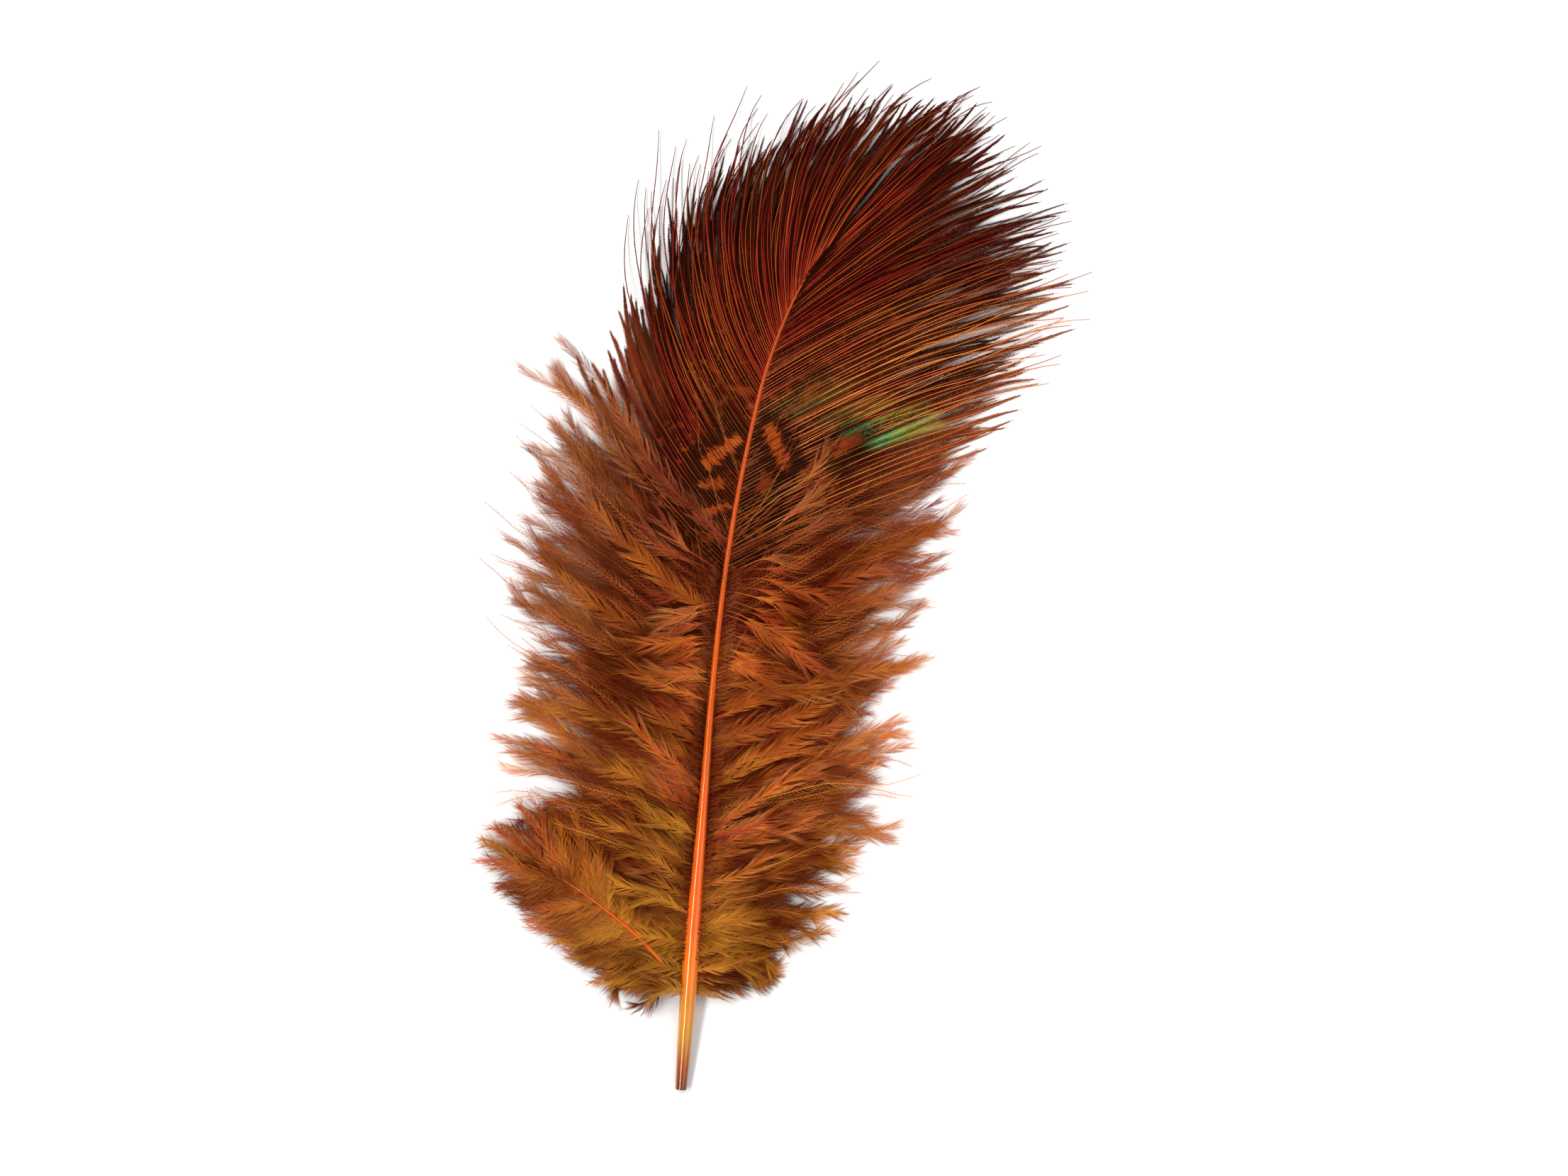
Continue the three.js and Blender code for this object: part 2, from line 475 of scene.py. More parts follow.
    def add_ribbons(self, strands: Strands, habit: BarbuleHabit, rng: np.random.Generator) -> None:
        """Adds the barbules on both sides of each strand, each a ribbon of two steps that ends in a point.

        Args:
            strands: the barbs that they stand on.
            habit: how they stand.
            rng: the source of the small differences between them.
        """
        root = strands.between(habit.places.at(np.linspace(0, 1, habit.count)))
        rows, slots = root.share.shape
        first = np.arange(rows * slots)[:, None] * self.RIBBON
        row = np.repeat(np.arange(rows), slots)[:, None]
        slot = np.tile(np.arange(slots), rows)[:, None]
        (low, high), (near, far) = self.RIBBON_BAND, self.RIBBON_SLOT
        middle = (low + high) / 2
        for hand in (-1, 1):
            points, tone = self.ribbons(root, habit, hand, rng)
            quad_map = self.on_map(row, (slot + np.array([near, near, far, far])) / slots,
                                   hand * np.array([low, middle, middle, low]))
            tip_map = self.on_map(row, (slot + np.array([near, 0.5, far])) / slots,
                                  hand * np.array([middle, high, middle]))
            traits = {name: np.repeat(value.reshape(-1), self.RIBBON) for name, value in
                      {**root.traits(), "tone": tone}.items()}
            traits["limb"] = np.tile(self.RIBBON_LIMBS, rows * slots)
            self.add(points.reshape(-1, 3),
                     [(first + self.RIBBON_QUAD, quad_map), (first + self.RIBBON_TIP, tip_map)], traits)

    def vertices(self) -> Array:
        """Gives every vertex so far, one a row, kept off the floor and pressed in under the ceiling.

        Returns:
            The vertices, the highest of them closer together than they grew.
        """
        points = np.concatenate(self.points)
        knee = CEILING - self.SOFT_TOP
        over = np.maximum(points[:, 2] - knee, 0)
        pressed = self.SOFT_TOP * (1 - np.exp(-over / self.SOFT_TOP))
        points[:, 2] = np.clip(points[:, 2], CLEARANCE, knee) + pressed
        return points

    def build(self, name: str, cover: Cover) -> bpy.types.Object:
        """Makes the object, in metres and in the frame.

        Args:
            name: the piece's name.
            cover: the surface that tells how deep each vertex lies.

        Returns:
            The new object, linked to the scene.
        """
        points, sizes = self.vertices(), np.concatenate(self.sizes)
        loops = np.concatenate(self.loops)
        mesh = bpy.data.meshes.new(name)
        mesh.vertices.add(len(points))
        mesh.vertices.foreach_set("co", ((points - FEATHER_MIDDLE) * MM).ravel())
        mesh.loops.add(len(loops))
        mesh.loops.foreach_set("vertex_index", loops)
        mesh.polygons.add(len(sizes))
        mesh.polygons.foreach_set("loop_start", np.concatenate([[0], np.cumsum(sizes)[:-1]]))
        mesh.update(calc_edges=True)
        mesh.uv_layers.new(name=BAKE_MAP).data.foreach_set("uv", np.concatenate(self.maps).ravel())
        traits = {trait: np.concatenate(values) for trait, values in self.traits.items()}
        for trait, values in (traits | {DEPTH: cover.depth(points)}).items():
            layer = mesh.attributes.new(trait, "FLOAT", "POINT")
            layer.data.foreach_set("value", values.astype(np.float32))
        mesh.shade_smooth()
        piece = bpy.data.objects.new(name, mesh)
        bpy.context.scene.collection.objects.link(piece)
        return piece


@dataclass
class BarbRow:
    """One row of barbs on one side of a stem, over a span of it, gathered in pointed locks."""

    name: str
    stem: Stem
    field: BarbField
    habit: BarbHabit
    barbules: BarbuleHabit
    span: Pair
    seed: int
    coat: Coat
    hue_place: Profile = EVEN

    BEND_POWER = 1.15
    DROOP_POWER = 1.2
    LOCK_SIZES = (0.35, 1.65)
    TUFT = 0.1
    TUFT_POWER = 1.5
    STRAY_POWER = 6
    GATHER_POWER = 1.3
    PULLS = (0.35, 1.15)
    WAVE_POWER = 1.6
    WAVE_BEATS = (1.1, 2.2)

    def paths(self, place: Array, length_share: Array, turned: Array,
              raised: Array) -> Array:
        """Lays the barbs' centre lines.

        Args:
            place: where each barb is rooted on the stem.
            length_share: each barb's length as a share of the field's.
            turned: degrees added to the angle at each barb's tip.
            raised: millimetres added to each barb's lift.

        Returns:
            The stations' points, as barb, station and axis.
        """
        habit, steps = self.habit, self.habit.segments
        root = self.stem.at(place)
        ahead = self.stem.ahead(place)[:, :2]
        ahead /= np.linalg.norm(ahead, axis=1, keepdims=True)
        outwards = self.field.side.value * np.stack([ahead[:, 1], -ahead[:, 0]], axis=1)
        step = (self.field.length.at(place) * length_share / steps)[:, None]
        launch = self.field.launch.at(place)[:, None]
        finish = (self.field.finish.at(place) + turned)[:, None]
        middle = (np.arange(steps) + 0.5) / steps
        turn = np.radians(launch + (finish - launch) * middle**self.BEND_POWER)
        moves = (np.cos(turn)[..., None] * ahead[:, None] + np.sin(turn)[..., None] * outwards[:, None])
        flat = np.cumsum(moves * step[..., None], axis=1) + root[:, None, :2]
        flat = np.concatenate([root[:, None, :2], flat], axis=1)
        fall = np.minimum(1, np.arange(steps + 1) / steps / habit.lies)
        height = root[:, 2:] + (habit.rest - root[:, 2:]) * fall**self.DROOP_POWER
        height = height + (habit.lift.at(place) + raised)[:, None] * np.sin(np.pi * fall)
        return np.concatenate([flat, height[..., None]], axis=2)

    def grow(self, rng: np.random.Generator) -> Strands:
        """Lays the barbs, each a little different, and draws them together in locks.

        Args:
            rng: the source of the differences.

        Returns:
            The barbs.
        """
        habit, (start, end) = self.habit, self.span
        loose = rng.uniform(-1, 1, habit.count) * habit.root_spread
        share = np.clip((np.arange(habit.count) + 0.5 + loose) / habit.count, 0, 1)
        edges = np.concatenate([[0.0], np.cumsum(rng.uniform(*self.LOCK_SIZES, habit.clumps))])
        edges /= edges[-1]
        clump = np.clip(np.searchsorted(edges, share, side="right") - 1, 0, habit.clumps - 1)
        middle, half = (edges[clump] + edges[clump + 1]) / 2, (edges[clump + 1] - edges[clump]) / 2
        off_centre = np.abs(share - middle) / half
        place = start + (end - start) * habit.crowd.at(share)
        centre = start + (end - start) * habit.crowd.at(middle)
        loosen = habit.loosen.at(place)
        reach = habit.scale * (1 - rng.uniform(0, habit.clump_length_spread, habit.clumps))[clump]
        clump_turn = rng.normal(0, habit.clump_angle_spread, habit.clumps)[clump] * loosen
        clump_rise = rng.uniform(-1, 1, habit.clumps)[clump] * habit.clump_lift_spread
        uneven = 1 - habit.length_spread * loosen * rng.uniform(0, 2, habit.count)
        length = reach * (1 - self.TUFT * off_centre**self.TUFT_POWER) * uneven
        length = length * (1 + habit.stray * rng.uniform(0, 1, habit.count) ** self.STRAY_POWER)
        turned = clump_turn + rng.normal(0, habit.angle_spread, habit.count) * loosen
        raised = clump_rise + rng.uniform(-1, 1, habit.count) * habit.lift_spread
        own = self.paths(place, length, turned, raised)
        ridge = self.paths(centre, reach, clump_turn, raised)
        station = np.arange(habit.segments + 1) / habit.segments
        draw = np.clip((station - habit.gather_from) / (1 - habit.gather_from), 0, 1) ** self.GATHER_POWER
        pull = habit.gather * draw[None, :] * rng.uniform(*self.PULLS, (habit.count, 1))
        path = own + (ridge - own) * pull[..., None]
        phase = rng.uniform(0, 2 * np.pi, (habit.count, 1))
        beat = rng.uniform(*self.WAVE_BEATS, (habit.count, 1))
        sway = habit.wave * station**self.WAVE_POWER * np.sin(2 * np.pi * beat * station + phase)
        aside = np.cross(UP, np.gradient(path, axis=1))
        path = path + sway[..., None] * aside / np.linalg.norm(aside, axis=-1, keepdims=True)
        mood = rng.uniform(0, 1, habit.clumps)[clump]
        return Strands.along(path, place, rng.uniform(0, 1, habit.count), mood, self.field.side)

    def weave(self) -> StrandMesh:
        """Grows the barbs and sets their barbules on them.

        Returns:
            The row's strands, not yet an object.
        """
        rng = np.random.default_rng(self.seed)
        barbs = self.grow(rng)
        strands = StrandMesh(self.habit.count)
        strands.add_tubes(barbs, self.habit.thickness.at(barbs.share))
        strands.add_ribbons(barbs, self.barbules, rng)
        strands.traits["place"] = [self.hue_place.at(place) for place in strands.traits["place"]]
        return strands


class Nodes:
    """A small hand for laying out a node tree. Each method that adds a node gives the output to use."""

    def __init__(self, tree: bpy.types.NodeTree) -> None:
        """Keeps the tree that the nodes go in."""
        self.tree = tree

    def add(self, kind: str, settings: dict[str, object] | None = None,
            **inputs: object) -> bpy.types.Node:
        """Adds a node, sets it up and feeds its inputs.

        Args:
            kind: the node's type without its common start.
            settings: the node's own properties.
            **inputs: sockets to link or plain values, by input name with _ for a space.

        Returns:
            The node itself.
        """
        node = self.tree.nodes.new(f"ShaderNode{kind}")
        for name, value in (settings or {}).items():
            setattr(node, name, value)
        self.fill(node, **inputs)
        return node

    def fill(self, node: bpy.types.Node, **inputs: object) -> None:
        """Feeds a node's inputs, each by its name with _ for a space."""
        for name, value in inputs.items():
            self.feed(node.inputs[name.replace("_", " ")], value)

    def feed(self, socket: Socket, value: object) -> None:
        """Links a socket to another, or sets its own value, for a colour with full alpha."""
        if isinstance(value, Socket):
            self.tree.links.new(value, socket)
        else:
            socket.default_value = (*value[:3], 1) if socket.type == "RGBA" else value

    def maths(self, operation: str, *values: object, vectors: bool = False) -> Socket:
        """Adds a sum of numbers or of vectors.

        Args:
            operation: the sum's name.
            *values: what it works on, in order.
            vectors: whether they are vectors.

        Returns:
            The output that the sum uses.
        """
        node = self.add("VectorMath" if vectors else "Math", {"operation": operation})
        for socket, value in zip([socket for socket in node.inputs if socket.enabled], values):
            self.feed(socket, value)
        return next(socket for socket in node.outputs if socket.enabled)

    def times(self, first: object, *others: object) -> Socket:
        """Multiplies numbers."""
        for other in others:
            first = self.maths("MULTIPLY", first, other)
        return first

    def scaled(self, value: object, factor: object, offset: object) -> Socket:
        """Multiplies a number by a factor and adds an offset."""
        return self.maths("MULTIPLY_ADD", value, factor, offset)

    def smooth(self, value: object, span: Span) -> Socket:
        """Steps softly from 0 at the start of a span to 1 at its end."""
        return self.add("MapRange", {"interpolation_type": "SMOOTHSTEP"}, Value=value, From_Min=span[0],
                        From_Max=span[1]).outputs["Result"]

    def mask(self, *steps: tuple[object, Span]) -> Socket:
        """Multiplies soft steps, each of a value over a span."""
        return self.times(*(self.smooth(value, span) for value, span in steps))

    def layers(self, colour: object, *coats: Sequence[object]) -> Socket:
        """Paints a colour over with one coat after another.

        Args:
            colour: the ground colour.
            *coats: each a colour with the masks that let it show, which are multiplied.

        Returns:
            The colour in the end.
        """
        for coat, *masks in coats:
            node = self.add("Mix", {"data_type": "RGBA"})
            for socket, value in zip([socket for socket in node.inputs if socket.enabled],
                                     (self.times(*masks), colour, coat)):
                self.feed(socket, value)
            colour = next(socket for socket in node.outputs if socket.enabled)
        return colour

    def shade(self, colour: object, value: object, hue: object = 0.5) -> Socket:
        """Makes a colour brighter or darker, and turns its hue."""
        return self.add("HueSaturation", Hue=hue, Value=value, Color=colour).outputs["Color"]

    def ramp(self, place: object, stops: Stops) -> Socket:
        """Runs through colours.

        Args:
            place: where along them.
            stops: the colours with their places.

        Returns:
            The colour there.
        """
        node = self.add("ValToRGB", Fac=place)
        bar = node.color_ramp.elements
        while len(bar) < len(stops):
            bar.new(0.5)
        for element, (position, colour) in zip(bar, stops):
            element.position, element.color = position, (*colour, 1)
        return node.outputs["Color"]

    def spot(self) -> Socket:
        """Reads the Object coordinates."""
        return self.add("TexCoord").outputs["Object"]

    def noise(self, spot: Socket, scale: float, detail: float = 2.0, **more: object) -> Socket:
        """Gives soft noise at a spot."""
        return self.add("TexNoise", Vector=spot, Scale=scale, Detail=detail, **more).outputs["Fac"]

    def traits(self, *names: str) -> list[Socket]:
        """Reads some of the strands' traits."""
        return [self.add("Attribute", {"attribute_name": name}).outputs["Fac"] for name in names]


def new_group(name: str, inputs: dict[str, str], output: tuple[str, str]) -> tuple[Nodes, dict, Socket]:
    """Starts a shader node group.

    Args:
        name: the group's name.
        inputs: the kind of each input socket, Float, Color or Vector, by name.
        output: the name and kind of the output socket.

    Returns:
        The hand for its tree, its input sockets by name and the socket to feed its output by.
    """
    tree = bpy.data.node_groups.new(name, "ShaderNodeTree")
    for socket, kind in inputs.items():
        tree.interface.new_socket(socket, in_out="INPUT", socket_type=f"NodeSocket{kind}")
    tree.interface.new_socket(output[0], in_out="OUTPUT", socket_type=f"NodeSocket{output[1]}")
    start, end = tree.nodes.new("NodeGroupInput"), tree.nodes.new("NodeGroupOutput")
    return Nodes(tree), {socket.name: socket for socket in start.outputs if socket.name}, end.inputs[0]


def new_material(name: str) -> tuple[bpy.types.Material, Nodes, bpy.types.Node]:
    """Starts a material.

    Args:
        name: the material's name.

    Returns:
        The material, the hand for its tree and its principled shader.
    """
    material = bpy.data.materials.new(name)
    material.use_nodes = True
    return material, Nodes(material.node_tree), material.node_tree.nodes["Principled BSDF"]


@dataclass(frozen=True)
class Dye:
    """The uneven take-up of the dye, which every barb shows."""

    cloud_scale: float = 140.0
    speck_scale: float = 1400.0
    cloud_share: float = 0.9
    speck_share: float = 0.35
    middle: float = 1.12
    hue: Scaling = (0.03, 0.5)

    def group(self) -> bpy.types.NodeTree:
        """Builds the node group.

        Returns:
            A group that changes a colour from strand to strand and in soft patches.
        """
        nodes, start, end = new_group("uneven_dye", {"Color": "Color", "Tone": "Float", "Spread": "Float"},
                                      ("Color", "Color"))
        spot = nodes.spot()
        cloud = nodes.noise(spot, self.cloud_scale, 3.0, Roughness=0.6)
        speck = nodes.noise(spot, self.speck_scale, 1.0)
        mixed = nodes.scaled(cloud, self.cloud_share, nodes.scaled(speck, self.speck_share, start["Tone"]))
        centred = nodes.maths("SUBTRACT", mixed, self.middle)
        bright = nodes.scaled(centred, start["Spread"], 1.0)
        nodes.feed(end, nodes.shade(start["Color"], bright, nodes.scaled(centred, *self.hue)))
        return nodes.tree


def stroke_group() -> bpy.types.NodeTree:
    """Builds the distance from a point to a stroke.

    Returns:
        A group that takes the point, the stroke's start and its way to the other end.
    """
    nodes, start, end = new_group("to_stroke", {"Point": "Vector", "Start": "Vector", "Way": "Vector"},
                                  ("Distance", "Float"))
    way = start["Way"]
    off = nodes.maths("SUBTRACT", start["Point"], start["Start"], vectors=True)
    along = nodes.maths("DIVIDE", nodes.maths("DOT_PRODUCT", off, way, vectors=True),
                        nodes.maths("DOT_PRODUCT", way, way, vectors=True))
    nearest = nodes.maths("SCALE", way, nodes.add("Clamp", Value=along).outputs["Result"], vectors=True)
    nodes.feed(end, nodes.maths("DISTANCE", off, nearest, vectors=True))
    return nodes.tree


@dataclass(frozen=True)
class Bar:
    """A bar on the vane: a stroke between two points, each a place along the shaft and a reach from it."""

    side: Side
    start: Pair
    end: Pair
    half_width: float
    strength: float = 1.0


BARS = (
    Bar(Side.LEFT, (0.690, 3.9), (0.738, 1.5), 0.60),
    Bar(Side.LEFT, (0.660, 4.2), (0.684, 1.95), 0.34, 0.75),
    Bar(Side.LEFT, (0.636, 3.5), (0.672, 0.8), 0.36, 0.8),
    Bar(Side.LEFT, (0.616, 2.6), (0.628, 1.6), 0.30, 0.35),
    Bar(Side.LEFT, (0.744, 4.7), (0.768, 3.6), 0.34, 0.45),
    Bar(Side.LEFT, (0.778, 3.2), (0.800, 1.3), 0.30, 0.35),
    Bar(Side.RIGHT, (0.752, 2.1), (0.703, 4.3), 0.62),
    Bar(Side.RIGHT, (0.672, 2.6), (0.684, 3.0), 0.36, 0.5),
    Bar(Side.RIGHT, (0.676, 9.8), (0.688, 11.6), 0.45, 0.8),
    Bar(Side.RIGHT, (0.768, 5.4), (0.780, 6.4), 0.32, 0.5),
)


@dataclass(frozen=True)
class VaneFinish:
    """The firm barbs: barred near the shaft, a green glint on the right and a long maroon fringe, with
    painted shade where they lie deep under the others.

    The bars are drawn in millimetres. A step out along a barb goes along the shaft by its lean, and away
    from it by its rise.
    """

    dye: bpy.types.NodeTree
    web_dark: Colour = (0.015, 0.0016, 0.0008)
    web_fringe: Colour = (0.030, 0.0032, 0.0016)
    web_brown: Colour = (0.048, 0.0070, 0.0018)
    bar: Colour = (0.36, 0.062, 0.010)
    black: Colour = (0.010, 0.0025, 0.001)
    barb_dim: Colour = (0.080, 0.014, 0.005)
    barb_barred: Colour = (0.17, 0.026, 0.006)
    downy: Colour = (0.20, 0.038, 0.011)
    barb_red: Colour = (0.43, 0.052, 0.015)
    barb_orange: Colour = (0.82, 0.235, 0.062)
    barb_fringe: Colour = (0.27, 0.030, 0.011)
    tip: Colour = (0.055, 0.007, 0.003)
    glint: Stops = ((0.0, (0.006, 0.10, 0.045)), (0.28, (0.035, 0.26, 0.075)), (0.52, (0.27, 0.33, 0.045)),
                    (1.0, (0.40, 0.24, 0.045)))
    shaft_length: float = 74.0
    lean: float = 0.63
    rise: float = 0.78
    warp_scale: float = 330.0
    bar_warp: Scaling = (1.1, -0.95)
    bar_tone: float = 0.8
    bar_body: Span = (0.12, -0.14)
    bar_rim: Span = (1.7, 0.7)
    stretch_places: Span = (0.80, 0.745)
    stretch_reaches: Span = (6.2, 4.0)
    stretch_web: float = 0.75
    stretch_barb: float = 0.72
    rim_barb: float = 0.95
    glint_middle: Scaling = (-112.0, 90.4)
    glint_warp: float = 3.0
    glint_widths: Span = (4.4, 2.2)
    glint_start: Span = (0.658, 0.674)
    glint_end: Span = (0.80, 0.75)
    glint_places: Span = (0.716, 0.696)
    glint_bright: Scaling = (0.85, 0.15)
    glint_hue: Scaling = (0.12, 0.5)
    glint_ground: float = 0.7
    glint_web: Scaling = (0.72, 0.1)
    glint_tones: Span = (0.38, 0.5)
    glint_streak: Scaling = (0.9, 0.1)
    inner_off: float = 5.0
    inner_widths: Span = (2.0, 1.0)
    inner_places: Span = (0.76, 0.72)
    orange_places: Span = (0.88, 0.74)
    brown_shares: Span = (0.12, 0.4)
    fringe_shares: Span = (0.35, 0.7)
    fleck_scale: float = 1300.0
    fleck_levels: Span = (0.56, 0.66)
    fleck_places: Span = (0.92, 0.74)
    fleck_shares: Span = (0.75, 0.4)
    fleck: float = 0.35
    downy_places: Span = (0.73, 0.64)
    downy_shares: Span = (0.45, 0.8)
    tip_shares: Span = (0.75, 1.0)
    tip_dark: float = 0.7
    tip_spared: Scaling = (-0.85, 1.0)
    # Painted shade: the depths over which a strand is darkened where it lies under others, and how strongly.
    gap_shade_depths: Span = (0.1, 1.2)
    gap_shade: float = 0.6
    rough: Scaling = (-0.12, 0.45)
    metal: float = 0.15

    def bars(self, nodes: Nodes, place: Socket, reach: Socket, right: Socket, warp: Socket) -> list[Socket]:
        """Draws the bars, each with a near-black edge, on the dark stretch beside the shaft.

        Args:
            nodes: the hand for the material's tree.
            place: the place along the shaft.
            reach: the distance out along the barb, in millimetres.
            right: 1 on the right and 0 on the left.
            warp: what makes them uneven, in millimetres to either side of 0.

        Returns:
            The masks of the bars, of their edges and of the dark stretch.
        """
        along = nodes.scaled(reach, self.lean, nodes.times(place, self.shaft_length))
        point = nodes.add("CombineXYZ", X=along, Y=nodes.times(reach, self.rise)).outputs["Vector"]
        left = nodes.maths("SUBTRACT", 1.0, right)
        stroke, drawn = stroke_group(), [0.0, 0.0]
        for bar in BARS:
            (x, y), (far_x, far_y) = ((at * self.shaft_length + out * self.lean, out * self.rise)
                                      for at, out in (bar.start, bar.end))
            far = nodes.add("Group", {"node_tree": stroke}, Point=point, Start=(x, y, 0),
                            Way=(far_x - x, far_y - y, 0)).outputs["Distance"]
            far = nodes.maths("ADD", far, warp)
            shown = nodes.times(left if bar.side is Side.LEFT else right, bar.strength)
            for number, span in enumerate((self.bar_body, self.bar_rim)):
                edge = nodes.smooth(far, (bar.half_width + span[0], bar.half_width + span[1]))
                drawn[number] = nodes.maths("MAXIMUM", drawn[number], nodes.times(edge, shown))
        return [*drawn, nodes.mask((place, self.stretch_places), (reach, self.stretch_reaches))]

    def glints(self, nodes: Nodes, place: Socket, reach: Socket, right: Socket,
               warp: Socket) -> list[Socket]:
        """Lays the green band, further out along the lower barbs than along the upper, with a dark rim.

        Args:
            nodes: the hand for the material's tree.
            place: the place along the shaft.
            reach: the distance out along the barb, in millimetres.
            right: 1 on the right and 0 on the left.
            warp: the noise that makes the edges uneven.

        Returns:
            The band's mask, its colour and the mask of the rim at its inner side.
        """
        middle = nodes.scaled(place, *self.glint_middle)
        off = nodes.maths("SUBTRACT", reach, nodes.scaled(warp, self.glint_warp, middle))
        band = nodes.smooth(nodes.maths("ABSOLUTE", off), self.glint_widths)
        bright = nodes.scaled(nodes.smooth(place, self.glint_places), *self.glint_bright)
        ends = nodes.mask((place, self.glint_end), (place, self.glint_start))
        from_rim = nodes.maths("ABSOLUTE", nodes.maths("ADD", off, self.inner_off))
        rim = nodes.times(nodes.mask((from_rim, self.inner_widths), (place, self.inner_places)), right)
        hue = nodes.ramp(nodes.scaled(off, *self.glint_hue), self.glint)
        return [nodes.times(band, right, ends, bright), hue, rim]

    def material(self) -> bpy.types.Material:
        """Builds the material.

        Returns:
            The material, which reads the strands' traits.
        """
        material, nodes, shader = new_material("dyed_vane")
        place, reach, share, tone, _, limb, across, depth = nodes.traits(*TRAITS, DEPTH)
        web, right = nodes.smooth(limb, OFF_THE_BARB), nodes.smooth(across, TO_THE_RIGHT)
        spot = nodes.spot()
        warp = nodes.noise(spot, self.warp_scale)
        ragged = nodes.scaled(tone, self.bar_tone, nodes.scaled(warp, *self.bar_warp))
        barred, edged, stretch = self.bars(nodes, place, reach, right, ragged)
        band, hue, rim = self.glints(nodes, place, reach, right, warp)
        low_right = nodes.times(right, nodes.smooth(place, self.orange_places))
        fringe = nodes.smooth(share, self.fringe_shares)
        flecks = nodes.mask((nodes.noise(spot, self.fleck_scale), self.fleck_levels),
                            (place, self.fleck_places), (share, self.fleck_shares))
        downy = nodes.mask((place, self.downy_places), (share, self.downy_shares))
        dim = nodes.maths("MAXIMUM", nodes.times(stretch, self.stretch_barb),
                          nodes.times(edged, self.rim_barb))
        streak = nodes.scaled(nodes.smooth(tone, self.glint_tones), *self.glint_streak)
        spared = nodes.scaled(nodes.maths("MAXIMUM", low_right, downy), *self.tip_spared)
        ground = nodes.layers(
            self.web_dark, (self.web_fringe, fringe),
            (self.web_brown, low_right, nodes.smooth(share, self.brown_shares)),
            (self.black, stretch, self.stretch_web), (self.bar, flecks, self.fleck),
            (self.black, nodes.maths("MAXIMUM", edged, rim)), (self.bar, barred), (self.downy, downy))
        stem = nodes.layers(
            self.barb_red, (self.barb_fringe, fringe), (self.barb_orange, low_right), (self.barb_dim, dim),
            (self.barb_barred, barred))
        colour = nodes.layers(
            stem, (ground, web), (self.black, band, web, self.glint_ground),
            (hue, band, nodes.scaled(web, *self.glint_web), streak),
            (self.tip, nodes.smooth(share, self.tip_shares), self.tip_dark, spared),
            # Painted shade: near black where a strand lies deep under the others.
            (self.black, nodes.smooth(depth, self.gap_shade_depths), self.gap_shade))
        dyed = nodes.add("Group", {"node_tree": self.dye}, Color=colour, Tone=tone, Spread=0.5)
        nodes.fill(shader, Base_Color=dyed.outputs["Color"], Roughness=nodes.scaled(band, *self.rough),
                   Metallic=nodes.times(band, self.metal), Specular_IOR_Level=0.1,
                   Specular_Tint=(1.0, 0.3, 0.1))
        return material


